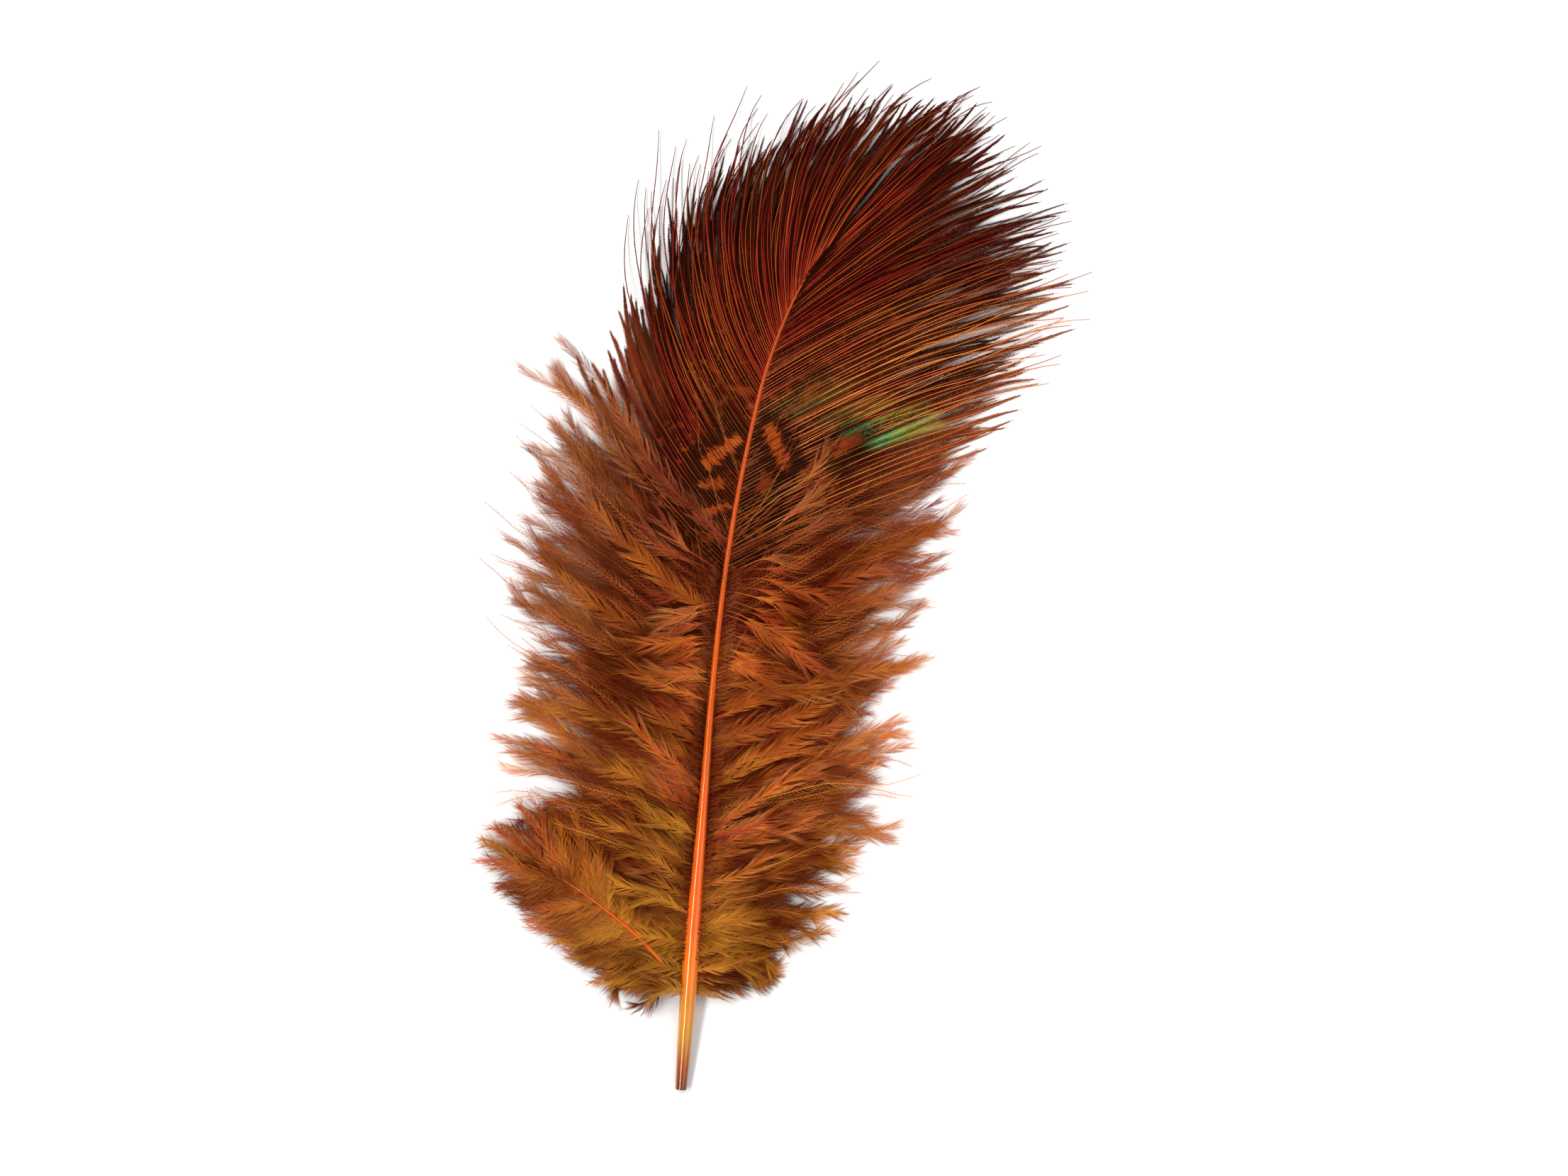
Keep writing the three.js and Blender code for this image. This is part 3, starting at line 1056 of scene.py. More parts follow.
@dataclass(frozen=True)
class DownFinish:
    """The soft down: golden olive by the quill, rufous brown further up and pale tips, with painted deep red
    shade in its gaps and painted highlights on its crowns and outer hair.
    """

    dye: bpy.types.NodeTree
    name: str = "dyed_down"
    golden: Colour = (0.39, 0.142, 0.014)
    rufous: Colour = (0.36, 0.066, 0.010)
    dusk: Colour = (0.24, 0.046, 0.014)
    # Painted shade: the deep red put where a strand lies deep under the others.
    gap_shade: Colour = (0.074, 0.0050, 0.0005)
    # Painted highlight: the lighter colour put on the raised crowns and on the outer hair.
    crown_highlight: Colour = (0.54, 0.165, 0.046)
    stem: Colour = (0.46, 0.105, 0.030)
    pale: Colour = (0.64, 0.25, 0.10)
    hue_places: tuple[float, ...] = (0.16, 0.36, 0.56, 0.72)
    hue_shift: float = 0.38
    clump_share: float = 0.26
    patch_share: float = 0.5
    patch_scale: float = 130.0
    broad_scale: float = 210.0
    # The painted highlights: on the crowns that stand above the others, in broad patches, and on the outer
    # hair as if lit through.
    crown_depths: Span = (0.25, -0.75)
    crown_height: float = 0.36
    crown_patches: Span = (0.36, 0.62)
    crown_patched: Scaling = (0.9, 0.35)
    outer_reaches: Span = (9.0, 18.0)
    outer_crown: float = 0.4
    tip_limbs: Span = (0.6, 1.0)
    tip_clumps: Span = (0.3, 0.8)
    tip_pale: float = 0.4
    limb_cover: Scaling = (0.65, 0.35)
    # The painted shade in the gaps: deeper in broad patches, by depth, and less in the outer hair.
    sunk_patches: Span = (0.60, 0.36)
    sunk_depth: float = 0.48
    gap_shade_depths: Span = (-0.1, 1.1)
    gap_shade_spared: Scaling = (-0.45, 0.92)
    right_light: Scaling = (0.16, 1.02)
    glow_places: Span = (0.46, 0.30)
    glow_reaches: Span = (3.0, 10.0)
    glow: float = 0.48
    rough: Scaling = (0.15, 0.42)

    def material(self) -> bpy.types.Material:
        """Builds the material.

        Returns:
            The material, which reads the strands' traits.
        """
        material, nodes, shader = new_material(self.name)
        place, reach, share, tone, clump, limb, across, depth = nodes.traits(*TRAITS, DEPTH)
        spot = nodes.spot()
        patch, broad = nodes.noise(spot, self.patch_scale), nodes.noise(spot, self.broad_scale, 1.5)
        mixed = nodes.scaled(clump, self.clump_share, nodes.scaled(patch, self.patch_share, place))
        hues = (self.golden, self.rufous, self.rufous, self.dusk)
        ground = nodes.ramp(nodes.maths("SUBTRACT", mixed, self.hue_shift), [*zip(self.hue_places, hues)])
        # Painted highlights: lighter on the crowns above the others and in the outer hair, in broad patches.
        outermost = nodes.smooth(reach, self.outer_reaches)
        raised = nodes.times(nodes.smooth(depth, self.crown_depths), self.crown_height)
        patched = nodes.scaled(nodes.smooth(broad, self.crown_patches), *self.crown_patched)
        tips = nodes.mask((limb, self.tip_limbs), (clump, self.tip_clumps))
        # Painted shade: deep red where a strand lies deep under the others, in broad patches, less in the
        # outer hair.
        sunk = nodes.scaled(nodes.smooth(broad, self.sunk_patches), self.sunk_depth, depth)
        fluff = nodes.layers(ground, (self.crown_highlight, nodes.scaled(outermost, self.outer_crown, raised), patched),
                             (self.pale, tips, self.tip_pale))
        colour = nodes.layers(
            self.stem, (fluff, nodes.scaled(nodes.smooth(limb, OFF_THE_BARB), *self.limb_cover)),
            (self.gap_shade, nodes.smooth(sunk, self.gap_shade_depths), nodes.scaled(outermost, *self.gap_shade_spared)))
        light = nodes.scaled(nodes.smooth(across, TO_THE_RIGHT), *self.right_light)
        light = nodes.scaled(nodes.mask((place, self.glow_places), (reach, self.glow_reaches)), self.glow,
                             light)
        dyed = nodes.add("Group", {"node_tree": self.dye}, Color=nodes.shade(colour, light), Tone=tone,
                         Spread=0.6)
        nodes.fill(shader, Base_Color=dyed.outputs["Color"], Roughness=nodes.scaled(share, *self.rough),
                   Specular_IOR_Level=0.12, Specular_Tint=(1.0, 0.45, 0.2))
        return material


@dataclass(frozen=True)
class QuillFinish:
    """Glossy dyed horn: red-brown at the cut, olive-yellow, then bright orange, duller towards the tip."""

    stops: Stops = (
        (0.0, (0.12, 0.016, 0.004)), (0.028, (0.30, 0.055, 0.008)), (0.07, (0.58, 0.26, 0.022)),
        (0.13, (0.80, 0.185, 0.006)), (0.20, (0.80, 0.110, 0.003)), (0.32, (0.70, 0.095, 0.003)),
        (0.48, (0.54, 0.074, 0.005)), (0.70, (0.44, 0.056, 0.010)), (1.0, (0.30, 0.034, 0.008)))
    grain: Triple = (3.0, 0.25, 3.0)
    streak_scale: float = 900.0
    streak_light: float = 0.35
    cloud_scale: float = 260.0
    cloud_light: Scaling = (0.5, 0.58)
    rough: Scaling = (0.08, 0.10)
    gloss_places: Span = (0.50, 0.24)
    gloss: Scaling = (0.82, 0.08)

    def material(self) -> bpy.types.Material:
        """Builds the material.

        Returns:
            The material, which reads the shaft's place trait.
        """
        material, nodes, shader = new_material("dyed_quill")
        place, = nodes.traits("place")
        spot = nodes.spot()
        stretched = nodes.add("Mapping", Vector=spot, Scale=self.grain).outputs["Vector"]
        streak, cloud = nodes.noise(stretched, self.streak_scale, 3.0), nodes.noise(spot, self.cloud_scale)
        bright = nodes.scaled(streak, self.streak_light, nodes.scaled(cloud, *self.cloud_light))
        bump = nodes.add("Bump", Strength=0.25, Distance=0.00004, Height=streak).outputs["Normal"]
        nodes.fill(shader, Base_Color=nodes.shade(nodes.ramp(place, self.stops), bright), Normal=bump,
                   Roughness=nodes.scaled(cloud, *self.rough), Specular_IOR_Level=0.75,
                   Specular_Tint=(1.0, 0.45, 0.12), Coat_Roughness=0.05, Subsurface_Weight=0.25,
                   Coat_Weight=nodes.scaled(nodes.smooth(place, self.gloss_places), *self.gloss),
                   Subsurface_Radius=(1.0, 0.35, 0.1), Subsurface_Scale=0.0004)
        return material


@dataclass
class Shaft:
    """A tapering stem, modelled straight and then bent along its curve; the quill's end is cut and hollow."""

    name: str
    stem: Stem
    radius: Profile
    sides: int
    stations: int
    hollow: float = 0.0
    groove: float = 0.0

    SAME = 1e-7
    FACING = 0.95
    SMOOTH_ANGLE = math.radians(50)
    WALL = 0.34
    HOLE = ((0.35, 0.92), (1.0, 0.6))
    GROOVED = (0.16, 0.999)
    GROOVE_SIDE = 0.2

    def build(self) -> bpy.types.Object:
        """Models the stem.

        Returns:
            The new piece.
        """
        bpy.ops.object.select_all(action="DESELECT")
        length = self.stem.length * MM
        start = size = float(self.radius.at(0.0)) * MM
        bpy.ops.mesh.primitive_circle_add(vertices=self.sides, radius=start, fill_type="NGON",
                                          rotation=(0, math.pi / 2, 0))
        piece = bpy.context.object
        piece.name = self.name
        bpy.ops.object.transform_apply(location=False, rotation=True, scale=False)
        bpy.ops.object.mode_set(mode="EDIT")
        bpy.ops.mesh.select_all(action="SELECT")
        for step in range(self.stations):
            share = (step + 1) / self.stations
            wanted = float(self.radius.at(share)) * MM
            self.extrude(length / self.stations)
            bpy.ops.transform.resize(value=(1, wanted / size, wanted / size),
                                     center_override=(length * share, 0, 0), orient_type="GLOBAL")
            size = wanted
        bpy.ops.object.mode_set(mode="OBJECT")
        self.hollow_end(piece, start)
        self.press_groove(piece, length)
        self.mark_places(piece, length)
        self.bend(piece)
        bpy.ops.object.mode_set(mode="EDIT")
        bpy.ops.mesh.select_all(action="SELECT")
        bpy.ops.mesh.remove_doubles(threshold=self.SAME)
        bpy.ops.mesh.normals_make_consistent(inside=False)
        bpy.ops.object.mode_set(mode="OBJECT")
        bpy.ops.object.shade_smooth_by_angle(angle=self.SMOOTH_ANGLE)
        return piece

    def extrude(self, distance: float) -> None:
        """Extrudes what is selected along the straight stem."""
        bpy.ops.mesh.extrude_region_move(
            TRANSFORM_OT_translate={"value": (distance, 0, 0), "orient_type": "GLOBAL"})

    def hollow_end(self, piece: bpy.types.Object, radius: float) -> None:
        """Sinks a tapering hole in the cut end, where the stem is to have one.

        Args:
            piece: the straight stem.
            radius: the radius of the cut end, in metres.
        """
        if not self.hollow:
            return
        for face in piece.data.polygons:
            face.select = abs(face.center.x) < self.SAME and abs(face.normal.x) > self.FACING
        bpy.ops.object.mode_set(mode="EDIT")
        bpy.ops.mesh.select_mode(type="FACE")
        bpy.ops.mesh.inset(thickness=radius * self.WALL)
        for depth, factor in self.HOLE:
            self.extrude(self.hollow * MM * depth)
            bpy.ops.transform.resize(value=(1, factor, factor), orient_type="GLOBAL")
        bpy.ops.object.mode_set(mode="OBJECT")

    def press_groove(self, piece: bpy.types.Object, length: float) -> None:
        """Presses the groove that runs along the underside of the shaft.

        Args:
            piece: the straight stem.
            length: its length, in metres.
        """
        start, end = (place * length for place in self.GROOVED)
        for vertex in piece.data.vertices:
            x, y, z = vertex.co
            if start < x < end and z < 0 and abs(y) < self.GROOVE_SIDE * abs(z):
                vertex.co.z *= 1 - self.groove

    def mark_places(self, piece: bpy.types.Object, length: float) -> None:
        """Writes how far along the stem each vertex is, for the finish to read."""
        layer = piece.data.attributes.new("place", "FLOAT", "POINT")
        layer.data.foreach_set("value", [vertex.co.x / length for vertex in piece.data.vertices])

    def bend(self, piece: bpy.types.Object) -> None:
        """Bends the straight stem along its curve.

        Args:
            piece: the straight stem.
        """
        route = (self.stem.line - FEATHER_MIDDLE) * MM
        curve = bpy.data.curves.new("route", "CURVE")
        curve.dimensions = "3D"
        curve.twist_mode = "Z_UP"
        spline = curve.splines.new("POLY")
        spline.points.add(len(route) - 1)
        spline.points.foreach_set("co", np.c_[route, np.ones(len(route))].ravel())
        guide = bpy.data.objects.new("route", curve)
        bpy.context.scene.collection.objects.link(guide)
        modifier = piece.modifiers.new("along_route", "CURVE")
        modifier.object, modifier.deform_axis = guide, "POS_X"
        bpy.context.view_layer.objects.active = piece
        bpy.ops.object.modifier_apply(modifier="along_route")
        bpy.data.objects.remove(guide)


@dataclass(frozen=True)
class SidePlan:
    """What a side of the feather has of its own: the ways of its barbs, and how its edges fray."""

    barbs: BarbField
    hairs: BarbField
    down: BarbField
    ruffled: BarbField
    ruffled_span: Pair
    hair_scale: float
    web_edge: Profile
    fringe_edge: Profile


@dataclass
class RumpFeather:
    """The whole feather, from the same driving dimensions as its solid."""

    shaft: Stem = field(default_factory=lambda: Stem((
        (-12.6, -44.2, 0.52), (-12.0, -36.5, 1.45), (-11.5, -30.0, 2.3), (-10.6, -19.0, 3.1),
        (-9.8, -9.0, 3.5), (-8.6, 1.5, 3.6), (-6.9, 11.0, 3.4), (-4.9, 19.0, 3.0),
        (-2.1, 25.5, 2.4), (0.2, 28.6, 2.0))))
    after_shaft: Stem = field(default_factory=lambda: Stem((
        (-12.1, -36.4, 1.3), (-15.2, -32.0, 2.4), (-19.8, -28.0, 2.6), (-25.0, -24.6, 1.5))))
    shaft_radius: Profile = line(
        (0, 0.50), (0.04, 0.62), (0.10, 0.73), (0.17, 0.77), (0.25, 0.60), (0.34, 0.43), (0.43, 0.33),
        (0.52, 0.275), (0.62, 0.24), (0.8, 0.19), (1, 0.10))
    after_radius: Profile = line((0, 0.3), (0.3, 0.2), (1, 0.05))

    left_barbs: BarbField = BarbField(
        Side.LEFT,
        line((0.1, 7), (0.2, 16), (0.32, 20.5), (0.45, 22), (0.6, 23.5), (0.7, 23), (0.8, 22), (0.9, 20.5),
             (1, 18.5)),
        line((0.1, 80), (0.3, 70), (0.5, 62), (0.65, 52), (0.85, 46), (1, 8)),
        line((0.1, 110), (0.2, 88), (0.35, 70), (0.5, 52), (0.65, 23), (0.8, -1), (0.9, -9), (1, -14)))
    right_barbs: BarbField = BarbField(
        Side.RIGHT,
        line((0.1, 6), (0.2, 14), (0.32, 19), (0.45, 21), (0.6, 24), (0.7, 30), (0.8, 32), (0.9, 26),
             (1, 19)),
        line((0.1, 80), (0.3, 70), (0.5, 60), (0.65, 52), (0.85, 42), (1, 2)),
        line((0.1, 105), (0.2, 88), (0.35, 72), (0.5, 62), (0.65, 64), (0.78, 66), (0.88, 52), (1, 4)))
    left_ruffled: BarbField = BarbField(
        Side.LEFT,
        line((0.1, 7), (0.2, 15), (0.32, 20), (0.43, 20), (0.5, 19), (0.57, 20), (0.62, 23)),
        line((0.1, 74), (0.3, 58), (0.43, 58), (0.50, 92), (0.565, 98), (0.60, 58), (0.65, 44)),
        line((0.1, 96), (0.2, 74), (0.35, 58), (0.43, 74), (0.5, 144), (0.56, 150), (0.6, 60)))
    downy_edge: Profile = line((0.60, 2.3), (0.66, 1.6), (0.73, 1.0))
    left: SidePlan = SidePlan(
        left_barbs,
        hairs=replace(left_barbs, length=line((0.66, 30), (0.72, 32), (0.8, 29.5), (0.9, 25), (1, 22.2)),
                      finish=line((0.6, 16), (0.8, -10), (0.9, -18), (1, -26))),
        down=replace(left_barbs, finish=line((0.1, 110), (0.2, 88), (0.35, 73), (0.5, 60), (0.64, 40))),
        ruffled=left_ruffled, ruffled_span=(0.2, 0.60), hair_scale=1.0,
        web_edge=downy_edge, fringe_edge=downy_edge)
    right: SidePlan = SidePlan(
        right_barbs, hairs=right_barbs, down=right_barbs,
        ruffled=replace(left_ruffled, side=Side.RIGHT, finish=line(
            (0.1, 92), (0.2, 70), (0.35, 56), (0.43, 74), (0.5, 146), (0.57, 152), (0.61, 60), (0.65, 44))),
        ruffled_span=(0.13, 0.655), hair_scale=1.11,
        web_edge=line((0.64, 1.3), (0.71, 1.3), (0.76, 1.2), (0.80, 1.15), (0.88, 1.1), (0.95, 1)),
        fringe_edge=line((0.64, 1.35), (0.92, 1.3), (1, 1.1)))
    strewn_launch: Profile = line((0.4, 40), (0.7, 28))
    strewn_finish: Profile = line((0.4, 14), (0.7, 10))
    after_barbs: BarbField = BarbField(
        Side.LEFT, line((0, 4), (0.3, 8), (0.7, 8), (1, 6.5)), line((0, 74), (0.8, 50), (1, 6)),
        line((0, 70), (0.8, 24), (1, 2)))

    vane_habit: BarbHabit = BarbHabit(
        count=98, clumps=36, segments=26, lift=line((0.6, 1.0), (0.7, 0.6), (1, 0.5)), rest=0.15, lies=0.9,
        thickness=line((0, 0.058), (0.3, 0.048), (0.7, 0.042), (0.93, 0.032), (1, 0.017)), gather=0.15,
        gather_from=0.62, root_spread=0.1, length_spread=0.07, clump_length_spread=0.09, stray=0.14,
        angle_spread=0.55, clump_angle_spread=0.5, clump_lift_spread=0.08, wave=0.25,
        crowd=line((0, 0), (0.5, 0.58), (1, 1)))
    fringe_habit: BarbHabit = BarbHabit(
        count=88, clumps=28, segments=18, lift=line((0.64, 0.2), (1, 0.2)), rest=0.08, lies=0.9,
        thickness=line((0, 0.050), (0.5, 0.042), (0.9, 0.032), (1, 0.016)), gather=0.28, gather_from=0.6,
        length_spread=0.07, clump_length_spread=0.12, stray=0.18, angle_spread=2.0, clump_angle_spread=1.3,
        wave=0.4, crowd=line((0, 0), (0.42, 0.52), (1, 1)))
    tip_habit: BarbHabit = BarbHabit(
        count=54, clumps=54, segments=20, lift=line((0.66, 0.5), (1, 0.5)), rest=0.3, lies=0.95,
        thickness=line((0, 0.040), (0.7, 0.052), (0.9, 0.050), (1, 0.030)), clump_length_spread=0.16,
        stray=0.05, angle_spread=3.0, clump_angle_spread=2.5, lift_spread=0.2, clump_lift_spread=0.2,
        wave=0.4)
    down_habit: BarbHabit = BarbHabit(
        count=110, clumps=22, segments=16, lift=line((0.1, 0.5), (0.3, 0.7), (0.64, 0.1)), rest=0.3,
        lies=0.88, thickness=line((0, 0.040), (0.5, 0.030), (1, 0.016)), gather=0.22, gather_from=0.2,
        length_spread=0.1, clump_length_spread=0.2, stray=0.12, angle_spread=5.5, clump_angle_spread=7.5,
        lift_spread=0.5, clump_lift_spread=0.8, wave=0.8, scale=1.02,
        loosen=line((0.1, 3.0), (0.2, 1.4), (0.3, 1.0)), crowd=line((0, 0), (0.56, 0.64), (1, 1)))
    ruffle_habit: BarbHabit = BarbHabit(
        count=92, clumps=20, segments=12, rest=0.9, lies=0.95,
        lift=line((0.1, 1.3), (0.42, 1.25), (0.5, 1.7), (0.57, 1.75), (0.62, 1.2)),
        thickness=line((0, 0.036), (0.4, 0.028), (1, 0.014)), gather=0.10, gather_from=0.15,
        length_spread=0.16, clump_length_spread=0.3, stray=0.2, angle_spread=6.5, clump_angle_spread=12.0,
        lift_spread=0.5, clump_lift_spread=0.6, wave=1.1, scale=0.78)
    hair_habit: BarbHabit = BarbHabit(
        count=80, clumps=48, segments=14, lift=line((0.1, 1.1), (0.7, 0.9)), rest=0.5, lies=0.9,
        thickness=line((0, 0.034), (0.6, 0.030), (0.9, 0.026), (1, 0.014)), gather=0.1, length_spread=0.13,
        clump_length_spread=0.25, stray=0.1, angle_spread=9.0, clump_angle_spread=6.0, lift_spread=0.6,
        clump_lift_spread=0.4, wave=0.6, scale=1.14)
    loose_habit: BarbHabit = BarbHabit(
        count=9, clumps=9, segments=16, lift=line((0.4, 0.5), (0.7, 0.6)), rest=3.3, lies=1.0,
        thickness=line((0, 0.022), (0.7, 0.020), (1, 0.010)), root_spread=0.9, length_spread=0.1,
        clump_length_spread=0.5, clump_angle_spread=18.0, lift_spread=0.15, clump_lift_spread=0.15,
        wave=0.35, scale=0.66)
    base_habit: BarbHabit = BarbHabit(
        count=104, clumps=40, segments=4, lift=line((0.1, 3.4), (0.7, 2.8)), rest=1.2, lies=12.0,
        thickness=line((0, 0.062), (0.6, 0.05), (1, 0.02)), gather=0.1, root_spread=0.15,
        length_spread=0.12, clump_length_spread=0.15, angle_spread=4.0, clump_angle_spread=4.0,
        lift_spread=0.3, clump_lift_spread=0.2, wave=0.05, scale=0.085)
    after_habit: BarbHabit = BarbHabit(
        count=60, clumps=16, segments=10, lift=line((0, 0.3), (1, 0.2)), rest=1.0, lies=1.0,
        thickness=line((0, 0.03), (0.4, 0.02), (1, 0.008)), gather=0.25, length_spread=0.12, stray=0.25,
        angle_spread=4.0, clump_angle_spread=4.0, lift_spread=0.2, clump_lift_spread=0.25, wave=0.4)
    after_hue: Profile = line((0, 0.12), (1, 0.34))
    hair_inset: Pair = (0.03, 0.02)

    web: BarbuleHabit = BarbuleHabit(
        count=168, places=line((0, 0.01), (0.7, 0.56), (1, 0.98)),
        length=line((0, 0.48), (0.5, 0.47), (0.8, 0.42), (0.9, 0.30), (1, 0.1)),
        angle=line((0, 46), (0.5, 42), (0.7, 32), (1, 20)),
        width=0.085, curl=0.25, twist_spread=6.0, angle_spread=4.0, lie=0.12)
    under: BarbuleHabit = replace(web, count=98, places=line((0, 0.3), (1, 0.98)), width=0.14, thinning=0.4)
    wisp: BarbuleHabit = replace(
        web, count=44, length=line((0, 0.3), (0.7, 0.3), (0.85, 0.22), (1, 0.1)),
        places=line((0, 0.5), (1, 0.9)), angle=line((0, 24), (1, 14)), width=0.05)
    fluff: BarbuleHabit = BarbuleHabit(
        count=170, places=line((0, 0.01), (1, 0.985)),
        length=line((0, 0.5), (0.12, 1.6), (0.4, 2.5), (0.75, 2.3), (0.9, 1.8), (1, 1.3)),
        angle=line((0, 46), (0.3, 35), (0.7, 26), (1, 19)), width=0.046, curl=0.45, twist_spread=30.0,
        angle_spread=11.0, thinning=0.45, length_spread=0.3, wisp=7, wisp_angle=9.0)
    ruffle: BarbuleHabit = replace(
        fluff, count=145, length=line((0, 0.3), (0.15, 1.0), (0.4, 2.3), (0.7, 2.9), (0.88, 2.5), (1, 1.5)),
        angle=line((0, 34), (0.4, 23), (1, 10)),
        bare=line((0.13, 0.10), (0.48, 0.12), (0.56, 0.28), (0.655, 0.55)))
    hair: BarbuleHabit = replace(
        fluff, count=52, length=line((0, 0.5), (0.5, 1.0), (0.8, 1.2), (1, 0.6)),
        angle=line((0, 40), (0.6, 38), (1, 22)), width=0.034, wisp=3)
    lint: BarbuleHabit = replace(hair, count=16, length=line((0, 0.1), (0.5, 0.3), (1, 0.3)), width=0.022)
    plume: BarbuleHabit = replace(fluff, count=104, width=0.04, length=line((0, 0.9), (0.5, 1.4), (1, 0.9)))
    bristle: BarbuleHabit = BarbuleHabit(
        count=10, places=line((0, 0.45), (1, 0.97)), length=line((0, 0.25), (1, 0.4)),
        angle=line((0, 30), (1, 16)), width=0.034, curl=0.3, twist_spread=20.0, angle_spread=8.0)

    def rows(self, plan: SidePlan, number: int) -> list[BarbRow]:
        """Lists the rows of barbs of one side.

        Args:
            plan: what the side has of its own.
            number: what is added to the seeds, so that the sides differ.

        Returns:
            The rows, each with the span of the shaft that it grows on.
        """
        barbs, (start, end), (after, before) = plan.barbs, plan.ruffled_span, self.hair_inset
        strewn = replace(barbs, launch=self.strewn_launch, finish=self.strewn_finish)
        web, under = replace(self.web, outer=plan.web_edge), replace(self.under, outer=plan.fringe_edge)
        tip_habit = replace(self.tip_habit, scale=plan.hair_scale)
        after_barbs = replace(self.after_barbs, side=barbs.side)
        rows = (
            BarbRow("vane", self.shaft, barbs, self.vane_habit, web, (0.60, 1.0), 11, Coat.VANE),
            BarbRow("fringe", self.shaft, barbs, self.fringe_habit, under, (0.64, 1.0), 51, Coat.VANE),
            BarbRow("tip_hairs", self.shaft, plan.hairs, tip_habit, self.wisp, (0.68, 1.0), 71, Coat.VANE),
            BarbRow("down", self.shaft, plan.down, self.down_habit, self.fluff, (0.112, 0.64), 21, Coat.DOWN),
            BarbRow("ruffled_down", self.shaft, plan.ruffled, self.ruffle_habit, self.ruffle, (start, end),
                    31, Coat.DOWN),
            BarbRow("long_hairs", self.shaft, plan.down, self.hair_habit, self.hair,
                    (start + after, end - before), 61, Coat.DOWN),
            BarbRow("loose_hairs", self.shaft, strewn, self.loose_habit, self.lint, (0.46, 0.73), 91,
                    Coat.DOWN),
            BarbRow("barb_bases", self.shaft, barbs, self.base_habit, self.bristle, (0.15, 0.60), 81,
                    Coat.BASES),
            BarbRow("afterfeather", self.after_shaft, after_barbs, self.after_habit, self.plume, (0.1, 1.0),
                    41, Coat.DOWN, self.after_hue),
        )
        word = barbs.side.name.lower()
        return [replace(row, name=f"{row.name}_{word}", seed=row.seed + number) for row in rows]

    def finishes(self) -> dict[Coat, bpy.types.Material]:
        """Builds the barbs' finishes, that of the barbs' bases darker than the down's, as dark teeth that
        also stand for painted shade along the shaft.

        Returns:
            The material for each coat.
        """
        dye = Dye().group()
        bases = DownFinish(dye, Coat.BASES.value, rufous=(0.13, 0.020, 0.004), dusk=(0.10, 0.014, 0.004),
                           golden=(0.16, 0.030, 0.004), crown_highlight=(0.20, 0.040, 0.008), stem=(0.12, 0.016, 0.003))
        makers = {Coat.VANE: VaneFinish(dye), Coat.DOWN: DownFinish(dye), Coat.BASES: bases}
        return {coat: maker.material() for coat, maker in makers.items()}

    def build(self) -> list[bpy.types.Object]:
        """Builds and dresses every piece.

        Returns:
            The pieces.
        """
        quill, finishes = QuillFinish().material(), self.finishes()
        shafts = (
            Shaft("quill_and_shaft", self.shaft, self.shaft_radius, sides=24, stations=64, hollow=2.6,
                  groove=0.35),
            Shaft("afterfeather_shaft", self.after_shaft, self.after_radius, sides=10, stations=24),
        )
        pieces = [self.dress(shaft.build(), quill) for shaft in shafts]
        rows = [*self.rows(self.left, 0), *self.rows(self.right, 1)]
        woven = [(row, row.weave()) for row in rows]
        cover = Cover(np.concatenate([strands.vertices() for _, strands in woven]))
        pieces += [self.dress(strands.build(row.name, cover), finishes[row.coat])
                   for row, strands in woven]
        return pieces

    def dress(self, piece: bpy.types.Object, material: bpy.types.Material) -> bpy.types.Object:
        """Gives a piece its finish and ties it to the frame.

        Args:
            piece: the new piece.
            material: its finish.

        Returns:
            The piece.
        """
        piece.data.materials.clear()
        piece.data.materials.append(material)
        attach(piece, BODY)
        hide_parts(NODE)
        return piece


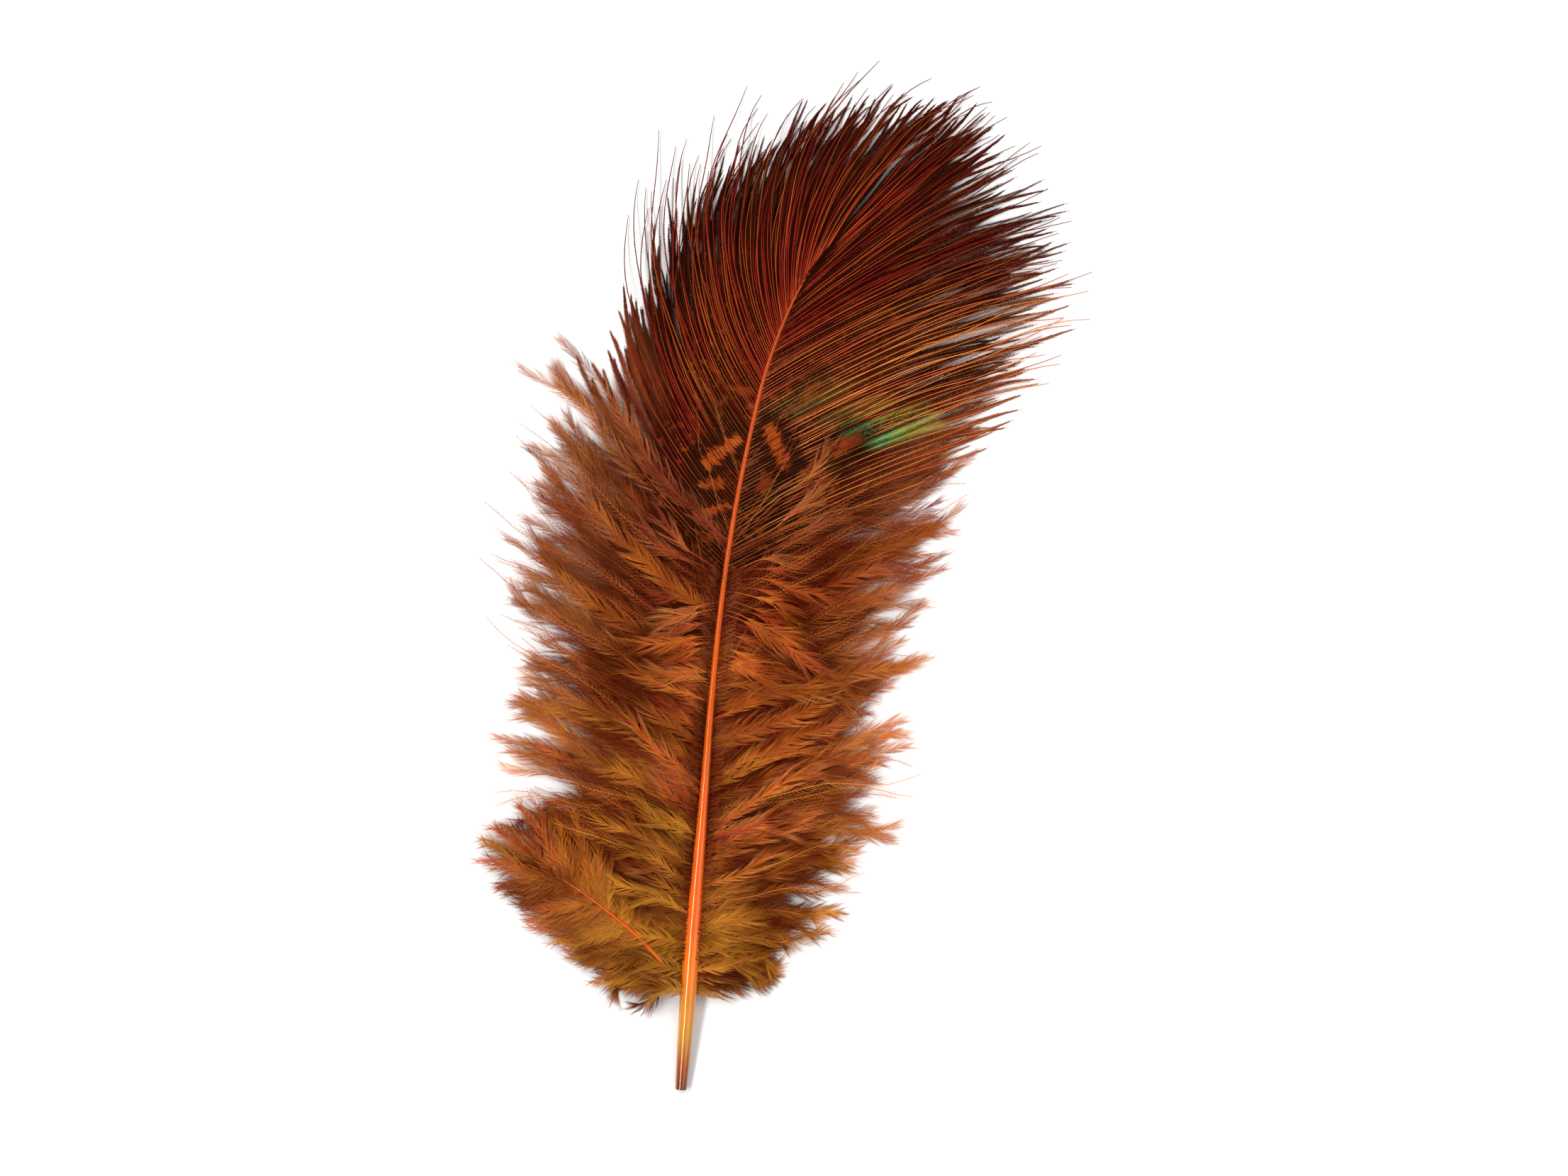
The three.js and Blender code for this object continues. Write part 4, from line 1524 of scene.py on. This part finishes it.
@dataclass
class Studio:
    """A plain pale floor under soft light, and the camera straight above."""

    photo_width: int = 2212
    photo_height: int = 1659
    view_height: float = 0.102
    camera_height: float = 0.62
    clip: Pair = (0.01, 10)
    floor_side: float = 1.6
    paper: Stops = ((0.3, (0.86, 0.855, 0.85)), (0.7, (0.88, 0.878, 0.875)))
    paper_grain: float = 900.0
    rim_light: Stops = ((0.3, (0, 0, 0)), (0.65, (0.5, 0.5, 0.5)))
    lamps: tuple[tuple[str, Triple, Pair, float], ...] = (
        ("key", (-0.40, 0.0, 0.68), (1.2, 0.12), 7.0),
        ("fill", (0.55, -0.25, 0.6), (0.6, 0.6), 1.4),
        ("top", (0.25, 0.5, 0.85), (0.6, 0.6), 2.6),
    )
    backdrop: Colour = (1, 0.99, 0.98)
    surround_light: float = 0.36
    seen_light: float = 0.66

    def build(self) -> None:
        """Builds the camera, the floor, the lamps and the surroundings."""
        self.add_camera()
        self.add_floor()
        self.add_lamps()
        self.add_surroundings()
        bpy.context.scene.view_settings.view_transform = "Standard"

    def add_camera(self) -> None:
        """Hangs the camera over the feather, with the photograph's frame."""
        data = bpy.data.cameras.new("camera")
        data.sensor_fit = "HORIZONTAL"
        width = self.view_height * self.photo_width / self.photo_height
        data.lens = data.sensor_width * self.camera_height / width
        data.clip_start, data.clip_end = self.clip
        camera = bpy.data.objects.new("camera", data)
        camera.location = (0, 0, self.camera_height)
        bpy.context.scene.collection.objects.link(camera)
        bpy.context.scene.camera = camera

    def add_floor(self) -> None:
        """Lays the pale floor, which melts into the backdrop at its far rim."""
        bpy.ops.object.select_all(action="DESELECT")
        bpy.ops.mesh.primitive_plane_add(size=self.floor_side)
        floor = bpy.context.object
        floor.name = "floor"
        material, nodes, shader = new_material("pale_paper")
        spot = nodes.spot()
        from_middle = nodes.maths("LENGTH", spot, vectors=True)
        nodes.fill(shader, Base_Color=nodes.ramp(nodes.noise(spot, self.paper_grain), self.paper),
                   Emission_Color=nodes.ramp(from_middle, self.rim_light), Emission_Strength=1.0,
                   Roughness=0.9)
        floor.data.materials.append(material)

    def add_lamps(self) -> None:
        """Sets a broad soft key at the left, a fill at the right and a light from the top."""
        for name, place, size, power in self.lamps:
            data = bpy.data.lights.new(name, "AREA")
            data.shape = "RECTANGLE"
            (data.size, data.size_y), data.energy = size, power
            lamp = bpy.data.objects.new(name, data)
            lamp.location = place
            lamp.rotation_euler = Vector(place).to_track_quat("Z", "Y").to_euler()
            bpy.context.scene.collection.objects.link(lamp)

    def add_surroundings(self) -> None:
        """Sets pale surroundings that the camera sees brighter than they light the feather."""
        world = bpy.data.worlds.new("surroundings")
        world.use_nodes = True
        nodes = Nodes(world.node_tree)
        seen = nodes.add("LightPath").outputs["Is Camera Ray"]
        nodes.fill(world.node_tree.nodes["Background"], Color=self.backdrop,
                   Strength=nodes.scaled(seen, self.seen_light, self.surround_light))
        bpy.context.scene.world = world


def main() -> None:
    """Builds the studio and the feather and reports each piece."""
    logging.basicConfig(level=logging.INFO, format="%(name)s %(message)s")
    Studio().build()
    for piece in RumpFeather().build():
        LOG.info("%s: %d faces", piece.name, len(piece.data.polygons))


if __name__ == "__main__":
    main()
